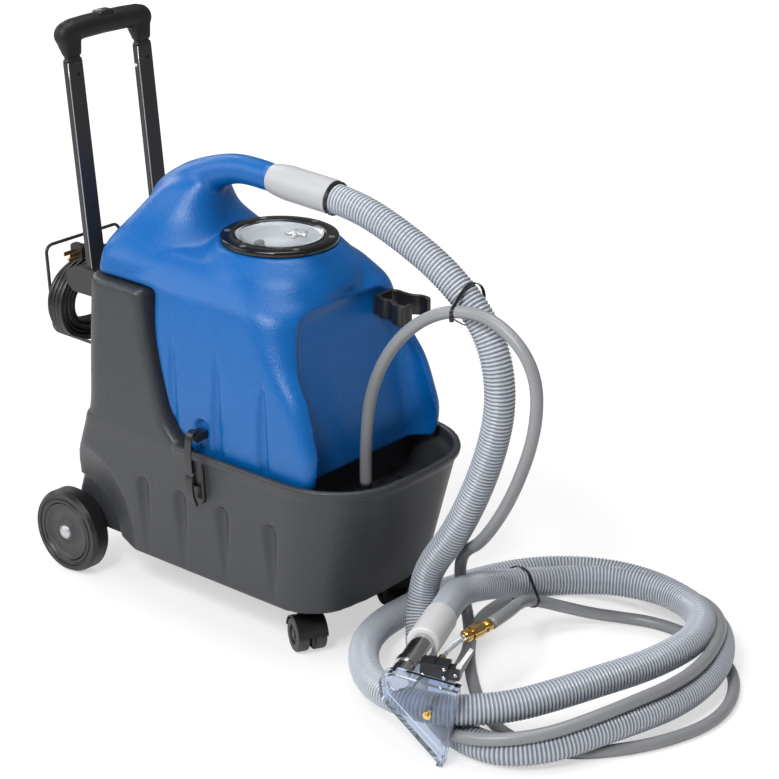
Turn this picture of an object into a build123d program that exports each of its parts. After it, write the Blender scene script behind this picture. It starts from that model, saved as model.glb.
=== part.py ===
from build123d import *
import os
from math import acos, cos, pi, radians, sin, sqrt, tan

os.makedirs("parts", exist_ok=True)

# ---- overall: shapes are drawn from the rear axle and moved here on export
AXLE_X = -227.1
TYRE_R = 63.5         # a 5 inch wheel
AXLE_R = 6.0
WALL = 4.0            # moulded wall
GAP = 0.4             # gap between neighbouring fixed pieces
RUN = 0.05            # radial running clearance of a shaft

# ---- hull: plan outline low and at the rim
HULL_Z = TYRE_R + AXLE_R + 0.5
RIM_Z = 272.0
HULL_HALF = (140.0, 154.0)
HULL_REAR = (-20.0, 48.0)
HULL_CORNER = (478.0, 537.5)
HULL_NOSE = (488.5, 556.7)
HULL_CORNER_R = (55.0, 92.0)
HULL_NOSE_R = 300.0
LIP_OUT = 3.5
LIP_WIDE = 11.0
LIP_TALL = 10.0
BULKHEAD_X = 208.0
FLOOR_Z = HULL_Z + WALL

# ---- rear column (z, rear, front, half width)
COLUMN = (
    (262.0, 47.0, 262.0, 155.5),
    (275.0, 50.0, 240.0, 157.0),
    (300.0, 51.0, 217.0, 156.5),
    (400.0, 54.0, 185.0, 152.0),
    (476.0, 57.0, 169.0, 148.5),
    (480.0, 60.0, 166.0, 145.5),
)
COLUMN_R_REAR = 45.0
COLUMN_R_FRONT = 12.0

# ---- recovery tank, lower part (z, rear, front, half width, front radius)
TANK_LOW = (
    (258.6, 253.0, 471.0, 139.0, 14.0),
    (270.0, 251.0, 478.0, 142.0, 16.0),
    (304.0, 219.0, 481.0, 144.5, 18.0),
    (333.0, 209.0, 473.0, 145.0, 20.0),
    (378.0, 195.5, 458.0, 144.0, 24.0),
    (419.0, 185.5, 433.0, 141.5, 30.0),
    (454.0, 179.0, 423.0, 138.5, 40.0),
    (483.0, 173.0, 418.0, 134.0, 56.0),
)
# upper part, which reaches back over the column
TANK_TOP = (
    (481.0, 70.0, 416.0, 132.0, 56.0),
    (486.0, 64.0, 418.0, 133.5, 58.0),
    (501.0, 60.0, 405.5, 123.0, 64.0),
    (515.0, 62.0, 398.0, 113.0, 70.0),
    (524.0, 67.0, 390.0, 104.0, 74.0),
    (529.0, 76.0, 380.0, 94.0, 70.0),
)
TANK_R_REAR = 44.0
TANK_WALL = 4.0
# hollow in the tank's front (z, face, half width, corner radius)
RECESS = (
    (250.0, 448.0, 127.0, 28.0),
    (285.0, 443.0, 126.0, 28.0),
    (380.0, 427.0, 119.0, 20.0),
    (454.0, 416.5, 110.0, 14.0),
    (482.0, 413.0, 96.0, 12.0),
)
GROOVE_X = (228.0, 312.0, 397.0)
GROOVE_FOOT = (295.0, 276.0, 271.0)
GROOVE_HEAD = (425.0, 417.0, 393.0)

# ---- lid
LID_X = 299.0
RING_R = 82.5
RING_WIDE = 19.0
RING_BORE = RING_R - RING_WIDE
# neck under the lid (z, radius over the ring's)
NECK = ((512.0, 33.5), (524.0, 26.5), (536.0, 16.5), (545.0, 5.0))
RING_Z = 555.0

# ---- arch duct (x, z, radius)
DUCT = (
    (290.0, 633.3, 20.5),
    (246.0, 635.3, 20.5),
    (212.0, 631.5, 22.0),
    (169.0, 616.0, 25.0),
    (130.0, 594.0, 29.0),
    (97.0, 562.0, 35.0),
    (88.0, 520.0, 39.0),
)
DUCT_WALL = 3.0
# web between the tank and the duct (z, rear, front, half width)
WEB = (
    (518.0, 66.0, 214.0, 84.0),
    (540.0, 66.0, 204.0, 78.0),
    (556.0, 70.0, 197.0, 66.0),
    (576.0, 84.0, 190.0, 46.0),
    (600.0, 112.0, 187.0, 27.0),
    (618.0, 148.0, 186.0, 19.0),
)

# ---- wheels
TREAD_TALL = 19.5     # tyre over its seat on the rim
WHEEL_OUT = 151.0
WHEEL_IN = 119.0
WELL_WALL = 112.0
WELL_R = 84.0
CASTER_AT = (427.0, 95.0)
CASTER_TURN = -28.6
CASTER_TRAIL = 9.0
CASTER_R = 25.0

# ---- handle, leaning back
LEAN = 6.12
RAIL_AT = (4.57, 68.0, 440.0)
RAIL_LOW = -19.0
RAIL_HIGH = 318.0
RAIL_SIZE = (12.0, 29.5)
RAIL_WALL = 1.5
INNER_SIZE = (8.6, 26.0)

# ---- hoses
VAC_R = 21.0
SOL_R = 8.5
LEAD_R = 4.0
# coil layers (x, y, outer radii, inner radii, foot, top)
COIL_LOW = (722.0, 77.0, (243.0, 277.0), (160.0, 198.0), 0.0, 46.0)
COIL_TOP = (757.0, 26.0, (175.0, 236.0), (118.0, 175.0), 44.0, 83.5)
SOL_COIL = (797.0, 36.0, (205.0, 240.0), (177.0, 212.0), 0.0, 57.0)

# ---- hand tool: its own upright frame at the mouth of its tube
TOOL_AT = (719.0, -253.0, 107.0)
TOOL_TURN = 21.43
VALVE_W = -31.6
CUFF_DROP = 2.6


def mix(pair, share):
    """Value a share of the way from the first to the second of a pair."""
    return pair[0] + (pair[1] - pair[0]) * share


def ring(points, radii, z):
    """Horizontal face at z inside a closed polygon with rounded corners."""
    path = FilletPolyline(*[(x, y, z) for x, y in points], radius=radii, close=True)
    return make_face(path)


def plan_box(z, rear, front, half, r_rear, r_front):
    """Rounded rectangle at z, lying evenly about the middle plane."""
    points = [(rear, -half), (front, -half), (front, half), (rear, half)]
    return ring(points, [r_rear, r_front, r_front, r_rear], z)


def block(x0, x1, y0, y1, z0, z1):
    """Box between two corners."""
    size = Box(x1 - x0, y1 - y0, z1 - z0)
    return Pos((x0 + x1) / 2, (y0 + y1) / 2, (z0 + z1) / 2) * size


def post(x, y, z0, z1, r):
    """Upright cylinder between two heights."""
    return Pos(x, y, (z0 + z1) / 2) * Cylinder(r, z1 - z0)


def turned_up(profile, x, y):
    """Solid turned about an upright axis from (radius, z) points."""
    face = make_face(Polyline(*[(x + r, y, z) for r, z in profile], close=True))
    return revolve(face, Axis((x, y, 0), (0, 0, 1)), 360)


def turned_across(profile, x, z):
    """Solid turned about a sideways axis from (radius, y) points."""
    face = make_face(Polyline(*[(x + r, y, z) for r, y in profile], close=True))
    return revolve(face, Axis((x, 0, z), (0, 1, 0)), 360)


def side_plate(points, radius, y0, y1):
    """Upright plate from an (x, z) outline, between two y values."""
    path = FilletPolyline(*[(x, y0, z) for x, z in points], radius=radius, close=True)
    return extrude(make_face(path), amount=y1 - y0, dir=(0, 1, 0))


def run_radii(points):
    """Bend radius at each inner corner: 0.45 of the shorter run over tan(half turn)."""
    radii = []
    for a, b, c in zip(points, points[1:], points[2:]):
        u = Vector(*b) - Vector(*a)
        v = Vector(*c) - Vector(*b)
        turn = acos(u.dot(v) / (u.length * v.length))
        radii.append(0.45 * min(u.length, v.length) / tan(turn / 2))
    return radii


def lay(name, points, r):
    """Tube of radius r along straight runs joined by tangent bends."""
    radii = run_radii(points)
    path = FilletPolyline(*points, radius=radii)
    start = Plane(origin=points[0], z_dir=Vector(*points[1]) - Vector(*points[0]))
    tube = sweep(start * Circle(r), path=path, transition=Transition.TRANSFORMED)
    ideal = pi * r * r * path.length
    print(name, "radii", [round(v, 1) for v in radii], "length", round(path.length, 1),
          "volume/ideal", round(tube.volume / ideal, 4))
    return tube


def save(shape, name):
    """Write one node, moved from the axle's frame to the machine's."""
    export_step(Pos(AXLE_X, 0, 0) * shape, "parts/" + name + ".step")


def both(shape, name):
    """Write a near (-Y) piece and its mirror on the far side."""
    save(shape, name + "_near")
    save(mirror(shape, Plane.XZ), name + "_far")


def pair(shape, name):
    """Write a near piece and its mirror as one node."""
    save(shape + mirror(shape, Plane.XZ), name)


# ---------------------------------------------------------------- base
def hull_face(z, inset):
    """Plan outline of the hull at one height, taken in by inset."""
    share = (z - HULL_Z) / (RIM_Z - HULL_Z)
    half = mix(HULL_HALF, share) - inset
    rear = mix(HULL_REAR, share) + inset
    corner = mix(HULL_CORNER, share) - inset
    nose = mix(HULL_NOSE, share) - inset
    points = [(rear, -half), (corner, -half), (nose, 0), (corner, half), (rear, half)]
    curve = mix(HULL_CORNER_R, share) - inset
    return ring(points, [16, curve, HULL_NOSE_R, curve, 16], z)


def wheel_recess(grow):
    """Dished fender with the wheel well at its bottom, on the near side."""
    mouth = Plane(origin=(11, -164, HULL_Z + 12), z_dir=(0, 1, 0)) * Circle(160 + grow)
    throat = Plane(origin=(0, -118 + grow, TYRE_R), z_dir=(0, 1, 0)) * Circle(WELL_R + grow)
    dish = loft([mouth, throat], ruled=True)
    depth = 118 - WELL_WALL
    well = Pos(0, -(118 + WELL_WALL) / 2 + grow, TYRE_R) * Rot(90, 0, 0) * Cylinder(
        WELL_R + grow, depth + 2)
    return dish + well


def flutes(grow):
    """Four half-round channels down the near side, deepest at their tops."""
    r = 12.0
    shapes = []
    for x in (165.0, 239.0, 320.0, 410.0):
        shapes.append(post(x, -152.5, 60, 193, r + grow))
        shapes.append(Pos(x, -152.5, 193) * Sphere(r + grow))
    return shapes


def mirrored(shapes):
    """The shapes and their mirror images on the far side."""
    return shapes + [mirror(s, Plane.XZ) for s in shapes]


def column_loft(inset, rows):
    """Stack of rounded rectangles for the column or its inside."""
    faces = []
    for z, rear, front, half in rows:
        faces.append(plan_box(z, rear + inset, front - inset, half - inset,
                              COLUMN_R_REAR - inset, COLUMN_R_FRONT - inset))
    return loft(faces, ruled=True)


def base_tub():
    """Hull with rolled rim, hollow rear column, wheel wells and flutes."""
    hull = loft([hull_face(HULL_Z, 7), hull_face(HULL_Z + 2, 3), hull_face(HULL_Z + 7, 0),
                 hull_face(RIM_Z - 2, 0)], ruled=True)
    lip = extrude(hull_face(RIM_Z - LIP_TALL, -LIP_OUT), amount=LIP_TALL)
    lip = fillet(lip.faces().sort_by(Axis.Z)[-1].edges(), 4.0)
    body = hull + lip + column_loft(0, COLUMN)
    cuts = mirrored([wheel_recess(0)] + flutes(0))
    for cut in cuts:
        body -= cut
    keep_out = mirrored([wheel_recess(WALL)] + flutes(WALL))
    inside = loft([hull_face(FLOOR_Z, WALL + 4), hull_face(FLOOR_Z + 5, WALL),
                   hull_face(RIM_Z - LIP_TALL, WALL)], ruled=True)
    motor_bay = inside & block(-60, BULKHEAD_X - 2, -200, 200, FLOOR_Z, RIM_Z)
    tub_bay = inside & block(BULKHEAD_X + 2, 600, -200, 200, FLOOR_Z, RIM_Z)
    mouth_rim = LIP_WIDE - LIP_OUT
    mouth = loft([hull_face(RIM_Z - LIP_TALL - 4, mouth_rim),
                  hull_face(RIM_Z + 3, mouth_rim)], ruled=True)
    mouth = mouth & block(243, 600, -200, 200, 240, RIM_Z + 3)
    rows = [(252.0, 52.0, 204.0, 149.0), (275.0, 54.0, 206.0, 152.0)]
    rows += [(300.0, 55.0, 212.0, 152.0), (400.0, 58.0, 181.0, 148.0), (475.0, 61.0, 165.0, 144.0)]
    bay_top = column_loft(0, rows)
    for room in (motor_bay, tub_bay, bay_top):
        for cut in keep_out:
            room -= cut
        body -= room
    body -= mouth
    for y in (-50, 50):
        body += block(BULKHEAD_X + 2, 462, y - 2, y + 2, FLOOR_Z - 0.5, 92)
    for side in (-1, 1):
        x, y = CASTER_AT
        body += post(x, side * y, FLOOR_Z - 0.5, HULL_Z + 21, 12)
        body -= post(x, side * y, HULL_Z - 1, HULL_Z + 17, 5.5 + RUN)
    for x in (85, 100, 115, 130, 145, 160):
        body -= block(x - 3, x + 3, -40, 40, HULL_Z - 1, FLOOR_Z + 1)
    body -= post(150, 0, 470, 485, 15.3)
    body -= Pos(50, 0, 322) * Rot(0, 90, 0) * Cylinder(5.0, 30)
    return body


def hull_skin():
    """Plain outside of the hull, for pieces that lie against it."""
    return loft([hull_face(HULL_Z + 7, 0), hull_face(RIM_Z - 2, 0)], ruled=True)


def solution_tank():
    """Clean-water tank on the hull's ribs: tall at the back, low in front."""
    plan = loft([hull_face(92, 8), hull_face(200, 9)], ruled=True)
    plan = plan & block(215, 516, -134, 134, 92, 200)
    body = plan + block(215, 424, -134, 134, 200, 258)
    room = loft([hull_face(95, 11), hull_face(197, 12)], ruled=True)
    room = room & block(218, 513, -131, 131, 95, 197)
    room += block(218, 421, -131, 131, 196, 255)
    body -= room
    body -= post(488, 60, 195, 202, 17)
    body -= post(467, -12, 195, 202, 7)
    return body


def filler_cap():
    """Screw cap with a grip bar over the clean-water filler."""
    cap = post(488, 60, 200.3, 214, 25)
    cap = chamfer(cap.faces().sort_by(Axis.Z)[-1].edges(), 2)
    cap += block(467, 509, 56, 64, 213, 222)
    return cap + post(488, 60, 190, 201, 16.5)


def outlet():
    """Barbed outlet that the solution hose leaves upwards."""
    return turned_up([(4, 186), (6.8, 186), (6.8, 200.3), (12, 200.3), (12, 210), (10.5, 212),
                      (10.5, 218), (SOL_R, 219), (SOL_R, 231.8), (4, 231.8)], 467, -12)


def vac_motor():
    """Two-stage vacuum motor standing on the motor bay's floor."""
    seat = FLOOR_Z + 0.3
    profile = [(0, seat), (64, seat), (67, seat + 4), (67, 118), (60, 122), (60, 126), (67, 130)]
    profile += [(67, 160), (48, 168), (48, 226), (30, 236), (0, 236)]
    return turned_up(profile, 122, 0)


def pump():
    """Upright solution pump with a valve head beside the motor."""
    body = post(178, 92, FLOOR_Z + 0.3, 160, 20) + block(160, 196, 74, 110, 158, 188)
    body += post(178, 92, 187, 202, 6)
    return body


# ---------------------------------------------------------------- recovery tank
def tank_grooves(grow):
    """Three channels down the near side, narrow at the top and wide at the foot."""
    shapes = []
    for x, z0, z1 in zip(GROOVE_X, GROOVE_FOOT, GROOVE_HEAD):
        low = plan_box(z0, x - 17 - grow, x + 17 + grow, 8 + grow, 5, 5)
        high = plan_box(z1, x - 8 - grow, x + 8 + grow, 8 + grow, 5, 5)
        tip = plan_box(z1 + 12 + grow, x - 6, x + 6, 2 + grow, 1.5, 1.5)
        low = Pos(0, -146.0, 0) * low
        high = Pos(0, -142.5, 0) * high
        tip = Pos(0, -148.0, 0) * tip
        shapes.append(loft([low, high, tip], ruled=True))
    return shapes


def tank_lofts(inset):
    """Lower and upper bodies of the recovery tank, taken in by inset."""
    bodies = []
    for rows, back, top_lift in ((TANK_LOW, 14.0, 3.5), (TANK_TOP, TANK_R_REAR, -inset)):
        faces = []
        last = len(rows) - 1
        for i, (z, rear, front, half, curve) in enumerate(rows):
            lift = inset if i == 0 else (top_lift if i == last else 0)
            lift = lift if inset else 0
            faces.append(plan_box(z + lift, rear + inset, front - inset, half - inset,
                                  back - inset, curve - inset))
        bodies.append(loft(faces, ruled=True))
    return bodies


def neck(inset, top):
    """Round neck under the lid."""
    rows = [(RING_R + over - inset, z) for z, over in NECK[:-1]]
    profile = [(0, NECK[0][0])] + rows + [(RING_R + NECK[-1][1] - inset, top), (0, top)]
    return turned_up(profile, LID_X, 0)


def duct(grow):
    """Arch from the tank's rear shelf over to the hose socket."""
    faces = []
    for i, (x, z, r) in enumerate(DUCT):
        before = DUCT[max(i - 1, 0)]
        after = DUCT[min(i + 1, len(DUCT) - 1)]
        along = (after[0] - before[0], 0, after[1] - before[1])
        faces.append(Plane(origin=(x, 0, z), x_dir=(0, 1, 0), z_dir=along) * Circle(r + grow))
    pipe = loft(faces, ruled=False)
    return pipe & block(60 - grow, 400, -80, 80, 524, 700)


def web(inset):
    """Waisted pillar that carries the arch."""
    faces = []
    for z, rear, front, half in WEB:
        curve = min(half - inset, (front - rear) / 2 - inset) * 0.86
        faces.append(plan_box(z, rear + inset, front - inset, half - inset, curve, curve))
    return loft(faces, ruled=True)


def recess(grow):
    """Hollow in the tank's front, behind the hoses."""
    faces = []
    for z, face, half, curve in RECESS:
        faces.append(plan_box(z, face - grow, 540, half + grow, curve, 2))
    return loft(faces, ruled=True)


def recovery_tank():
    """Hollow tank with its round neck, waisted web and arch duct in one moulding."""
    body = neck(0, NECK[-1][0]) + web(0) + duct(0)
    for part in tank_lofts(0):
        body += part
    body -= recess(0)
    for cut in mirrored(tank_grooves(0)):
        body -= cut
    inside = neck(TANK_WALL, NECK[-1][0] - 4) + web(TANK_WALL)
    for part in tank_lofts(TANK_WALL):
        inside += part
    inside -= recess(TANK_WALL)
    for cut in mirrored(tank_grooves(TANK_WALL)):
        inside -= cut
    body -= inside
    body -= duct(-DUCT_WALL)
    body -= post(LID_X, 0, 530, 560, RING_BORE + 2)
    body -= post(150, 0, 478, 490, 15.0 + RUN)
    notch = side_plate([(266, 262), (266, 316), (297, 316), (297, 262)], 6, -150, -139.5)
    for cut in mirrored([notch]):
        body -= cut
    return body


def lid_pieces():
    """Clamp ring with six screws, lift-out seal and window."""
    ring_body = turned_up([(RING_BORE, 545.2), (RING_R, 545.2), (RING_R, 552),
                           (RING_R - 3, RING_Z), (RING_BORE + 3, RING_Z), (RING_BORE, 552)],
                          LID_X, 0)
    heads = None
    for i in range(6):
        turn = radians(30 + 60 * i)
        r = (RING_R + RING_BORE) / 2
        at = (LID_X + r * cos(turn), r * sin(turn))
        ring_body -= post(at[0], at[1], 540, 560, 2.2)
        head = post(at[0], at[1], RING_Z, RING_Z + 2.6, 4.5)
        head = fillet(head.faces().sort_by(Axis.Z)[-1].edges(), 1.5)
        head += post(at[0], at[1], 545.5, RING_Z, 2.0)
        heads = head if heads is None else heads + head
    save(ring_body, "lid_ring")
    save(heads, "lid_screws")
    sill = RING_BORE - 7.5
    seal = turned_up([(sill, 545), (RING_BORE - 0.4, 545), (RING_BORE - 0.4, 553),
                      (RING_BORE + 1.5, 556.2), (RING_BORE - 2, 558.5), (sill + 1.5, 558.5),
                      (sill + 1.5, 556), (sill, 556)], LID_X, 0)
    save(seal, "lid_seal")
    edge = sill + 1.2
    window = turned_up([(0, 556.3), (edge, 556.3), (edge, 559), (edge - 3, 561),
                        (edge - 17, 562.5), (0, 563)], LID_X, 0)
    save(window, "lid_window")


def float_pieces():
    """Suction bend through the tank floor, ball cage and ball."""
    bend = FilletPolyline((150, 0, 474), (150, 0, 507), (216, 0, 507), (216, 0, 476), radius=22)
    mouth = Plane(origin=(150, 0, 474)) * (Circle(15) - Circle(12))
    save(sweep(mouth, path=bend), "standpipe")
    cage = post(216, 0, 422, 479, 19) - post(216, 0, 425, 475.6, 16.6)
    cage -= post(216, 0, 470, 480, 15.0 + GAP)
    for turn in (0, 60, 120):
        cage -= Pos(216, 0, 448) * Rot(0, 0, turn) * Box(60, 8, 40)
    save(cage, "float_cage")
    save(Pos(216, 0, 439.3) * Sphere(14), "float_ball")


# ---------------------------------------------------------------- running gear
def rear_wheels():
    """Axle, its beam, and a tyre, rim and hub nut on each side."""
    rod = Pos(0, 0, TYRE_R) * Rot(90, 0, 0) * Cylinder(AXLE_R, 298)
    save(rod, "axle")
    foot = TYRE_R - 8.5
    beam = side_plate([(-17, foot), (-17, HULL_Z), (17, HULL_Z), (17, foot)], 2.5, -84, 84)
    beam -= Pos(0, 0, TYRE_R) * Rot(90, 0, 0) * Cylinder(AXLE_R + RUN, 200)
    for y in (-42, 0, 42):
        beam -= block(-12, 12, y - 15, y + 15, foot - 1, HULL_Z + 1)
    save(beam, "axle_beam")
    out = WHEEL_OUT
    seat = TYRE_R - TREAD_TALL
    tyre = turned_across([(seat, 121), (seat + 6, 119.5), (TYRE_R - 3.5, 120), (TYRE_R, 125),
                          (TYRE_R, 145), (TYRE_R - 3.5, out), (seat + 10, out),
                          (seat + 9, 149.4), (seat + 7, 149.4), (seat + 6, out),
                          (seat + 2, out), (seat, 149)], 0, TYRE_R)
    both(mirror(tyre, Plane.XZ), "tyre")
    bore = AXLE_R + RUN
    rim = turned_across([(bore, 124), (22, 124), (22, 132), (seat - 5, 132), (seat - 2, 121.5),
                         (seat - 0.1, 121.5), (seat - 0.1, 149), (seat - 2.5, 149.6),
                         (seat - 5.5, 143), (24, 142), (20, 146), (bore, 146)], 0, TYRE_R)
    for i in range(8):
        turn = 45 * i
        hole = Pos(0, 137, TYRE_R) * Rot(0, turn, 0) * Pos(seat - 13, 0, 0) * Rot(90, 0, 0)
        rim -= hole * Cylinder(4, 30)
    both(mirror(rim, Plane.XZ), "rim")
    nut = turned_across([(AXLE_R + 0.15, 146.4), (12, 146.4), (12, 148), (10, 152), (6, 154.5),
                         (0, 155), (0, 149.4), (AXLE_R + 0.15, 149.4)], 0, TYRE_R)
    pair(nut, "hub_nuts")


def casters():
    """Twin-wheel casters: a hood on a stem, and a wheel pair on its pin."""
    x, y = CASTER_AT
    hood = Rot(90, 0, 0) * Cylinder(28, 44)
    hood -= Rot(90, 0, 0) * Cylinder(26, 60)
    hood = hood & block(-30, 30, -23, 23, 4, 40)
    web_plate = Rot(90, 0, 0) * Cylinder(27, 5) & block(-30, 30, -23, 23, -12, 40)
    hood = Pos(CASTER_TRAIL, 0, CASTER_R) * (hood + web_plate)
    hood -= Pos(CASTER_TRAIL, 0, CASTER_R) * Rot(90, 0, 0) * Cylinder(4 + RUN, 20)
    hood += post(0, 0, 2 * CASTER_R + 0.5, HULL_Z - 0.5, 11)
    hood += post(0, 0, HULL_Z - 2, HULL_Z + 16, 5.5)
    wheels = Rot(90, 0, 0) * Cylinder(4, 30)
    for side in (-1, 1):
        disc = Pos(0, side * 12.6, 0) * Rot(90, 0, 0) * Cylinder(CASTER_R, 18)
        disc = fillet(disc.edges(), 3)
        disc -= Pos(0, side * 21.6, 0) * Rot(90, 0, 0) * Cylinder(14, 6)
        disc += Pos(0, side * 15, 0) * Rot(90, 0, 0) * Cylinder(6, 12)
        wheels += disc
    wheels = Pos(CASTER_TRAIL, 0, CASTER_R) * wheels
    for side, name in ((-1, "near"), (1, "far")):
        place = Pos(x, side * y, 0) * Rot(0, 0, CASTER_TURN)
        save(place * hood, "caster_hood_" + name)
        save(place * wheels, "caster_wheels_" + name)


# ---------------------------------------------------------------- latches
def latches():
    """Over-centre latch on each side: bracket, lever, strap and keeper."""
    x = 281.5
    bracket = block(x - 9, x + 9, -161.3, -149, 222, 261.5)
    bracket -= block(x - 7, x + 7, -170, -156, 226, 262.5)
    bracket -= Pos(x, -159.5, 244) * Rot(0, 90, 0) * Cylinder(1.5 + RUN, 30)
    bracket -= hull_skin()
    pair(bracket, "latch_brackets")
    lever = block(x - 6.5, x + 6.5, -166, -161.7, 198, 246)
    lever += block(x - 6.5, x + 6.5, -162, -157.5, 238, 246)
    lever += Pos(x, -159.5, 244) * Rot(0, 90, 0) * Cylinder(2.2, 13)
    lever = fillet(lever.edges().filter_by(Axis.X).sort_by(Axis.Z)[:1], 2)
    lever += Pos(x, -159.5, 244) * Rot(0, 90, 0) * Cylinder(1.5, 17)
    lever -= Pos(x, -165.0, 232) * Rot(0, 90, 0) * Cylinder(1.9 + RUN, 30)
    lever -= block(x - 5.7, x + 5.7, -170, -163.4, 227.5, 248)
    both(lever, "latch_lever")
    strap = block(x - 5.5, x + 5.5, -168, -165.2, 232, 306)
    strap += Pos(x, -165.0, 232) * Rot(0, 90, 0) * Cylinder(1.9, 13)
    strap -= block(x - 6, x + 6, -163.6, -162, 229, 236)
    strap += block(x - 5.5, x + 5.5, -168, -150, 304, 307)
    both(strap, "latch_strap")
    keeper = block(x - 8, x + 8, -163, -139.7, 292, 303.6)
    keeper = chamfer(keeper.edges().filter_by(Axis.X).sort_by(Axis.Y)[:2], 2)
    pair(keeper, "latch_keepers")


# ---------------------------------------------------------------- handle
def leaning(y):
    """Place of one rail's frame, leaning back."""
    return Pos(RAIL_AT[0], y, RAIL_AT[2]) * Rot(0, -LEAN, 0)


def tube_box(size, z0, z1, wall):
    """Rounded rectangular tube along z."""
    outer = RectangleRounded(size[0], size[1], 3)
    inner = RectangleRounded(size[0] - 2 * wall, size[1] - 2 * wall, 1.6)
    return Pos(0, 0, z0) * extrude(outer - inner, amount=z1 - z0)


def handle():
    """Two fixed rails in blocks, and the sliding tubes with their grip."""
    rail = tube_box(RAIL_SIZE, RAIL_LOW, RAIL_HIGH, RAIL_WALL)
    pair(leaning(-RAIL_AT[1]) * rail, "rails")
    wide = RAIL_SIZE[0] + 7
    deep = RAIL_SIZE[1] + 7
    collar = extrude(RectangleRounded(wide, deep, 5), amount=14)
    collar = fillet(collar.faces().sort_by(Axis.Z)[-1].edges(), 2)
    collar = Pos(0, 0, RAIL_HIGH - 8) * collar
    collar -= Pos(0, 0, RAIL_HIGH - 10) * extrude(
        RectangleRounded(RAIL_SIZE[0] + 0.2, RAIL_SIZE[1] + 0.2, 3.1), amount=10.1)
    collar -= Pos(0, 0, RAIL_HIGH) * extrude(
        RectangleRounded(INNER_SIZE[0] + 0.5, INNER_SIZE[1] + 0.5, 2), amount=10)
    pair(leaning(-RAIL_AT[1]) * collar, "rail_collars")
    cradle = side_plate([(54.0, 419), (54.9, 459), (-18, 459), (-42, 450), (-42, 430), (-28, 419)],
                        6, -RAIL_AT[1] - 19, -RAIL_AT[1] + 19)
    hole = extrude(RectangleRounded(RAIL_SIZE[0] + 0.3, RAIL_SIZE[1] + 0.3, 3), amount=80)
    cradle -= leaning(-RAIL_AT[1]) * Pos(0, 0, RAIL_LOW - 0.2) * hole
    pair(cradle, "rail_blocks")
    top = RAIL_HIGH + 36
    inner = tube_box(INNER_SIZE, 6, top, 1.3)
    pair(leaning(-RAIL_AT[1]) * inner, "inner_tubes")
    crown = [(-89, 790), (-80, 808), (0, 816), (80, 808), (89, 790), (84, 778), (-84, 778)]
    path = FilletPolyline(*[(-49, y, z) for y, z in crown],
                          radius=[12, 18, 120, 18, 12, 6, 6], close=True)
    grip = extrude(make_face(path), amount=26, dir=(1, 0, 0))
    grip = fillet(grip.edges().filter_by(GeomType.LINE, reverse=False), 5)
    for side in (-1, 1):
        room = extrude(RectangleRounded(INNER_SIZE[0], INNER_SIZE[1], 2), amount=30)
        grip -= leaning(side * RAIL_AT[1]) * Pos(0, 0, top - 29.9) * room
    grip -= block(-46.3, -25.7, -14.3, 14.3, 800, 830)
    save(grip, "grip")
    button = block(-46, -26, -14, 14, 803.5, 819)
    button = fillet(button.faces().sort_by(Axis.Z)[-1].edges(), 3)
    save(button, "release_button")


def cord_bail():
    """Bent wire that holds the wound power lead."""
    points = [(51.7, -74, 339), (-88, -74, 341), (-98, -74, 469)]
    points += [(-98, 74, 469), (-88, 74, 341), (51.7, 74, 339)]
    path = FilletPolyline(*points, radius=12)
    start = Plane(origin=points[0], z_dir=(-1, 0, 0))
    save(sweep(start * Circle(2.5), path=path), "cord_bail")


def switches():
    """Switch plate with two rockers high on the column's back."""
    plate = block(48.5, 56.5, -30, 30, 425, 462)
    for y in (-13, 13):
        plate -= block(47, 57, y - 8.3, y + 8.3, 430, 457)
    save(plate & block(40, 54.4, -30, 30, 420, 470), "switch_plate")
    for y, name in ((-13, "vac"), (13, "pump")):
        points = [(53.0, 432), (53.0, 455), (46.5, 455), (48.3, 443.5), (46.5, 432)]
        face = make_face(Polyline(*[(px, y - 7.5, pz) for px, pz in points], close=True))
        rocker = extrude(face, amount=15, dir=(0, 1, 0))
        save(rocker, "rocker_" + name)


def tool_clip():
    """Spring clip on the tank's far shoulder for the hand tool's tube."""
    outline = [(414.5, 62), (414.5, 96), (428, 104), (448, 101), (476, 108), (500, 101),
               (503, 97), (501, 91), (478, 101), (450, 95), (430, 96), (430, 64), (450, 65),
               (462, 59), (484, 68), (487, 62), (462, 52), (448, 59), (430, 57)]
    face = make_face(Polyline(*[(x, y, 448) for x, y in outline], close=True))
    body = extrude(face, amount=30)
    save(body - block(400, 420, 40, 120, 440, 455) - recess_keep(), "tool_clip")


def recess_keep():
    """Tank wall behind the clip's foot."""
    return block(400, 418.4, 50, 110, 440, 500)


# ---------------------------------------------------------------- cords
def hose_cuff():
    """Swelling cuff between the duct's mouth and the suction hose."""
    outer = [(14.0, -20), (16.3, -20), (16.3, 0.2), (20.4, 0.2), (22.5, 12), (24.2, 27),
             (24.2, 106), (23.4, 110), (VAC_R + 0.15, 110), (VAC_R + 0.15, 73), (14.0, 68)]
    body = turned_across(outer, 0, 0)
    save(Pos(290, 0, 633.3) * Rot(0, CUFF_DROP, 0) * Rot(0, 0, -90) * body, "hose_cuff")


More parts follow.
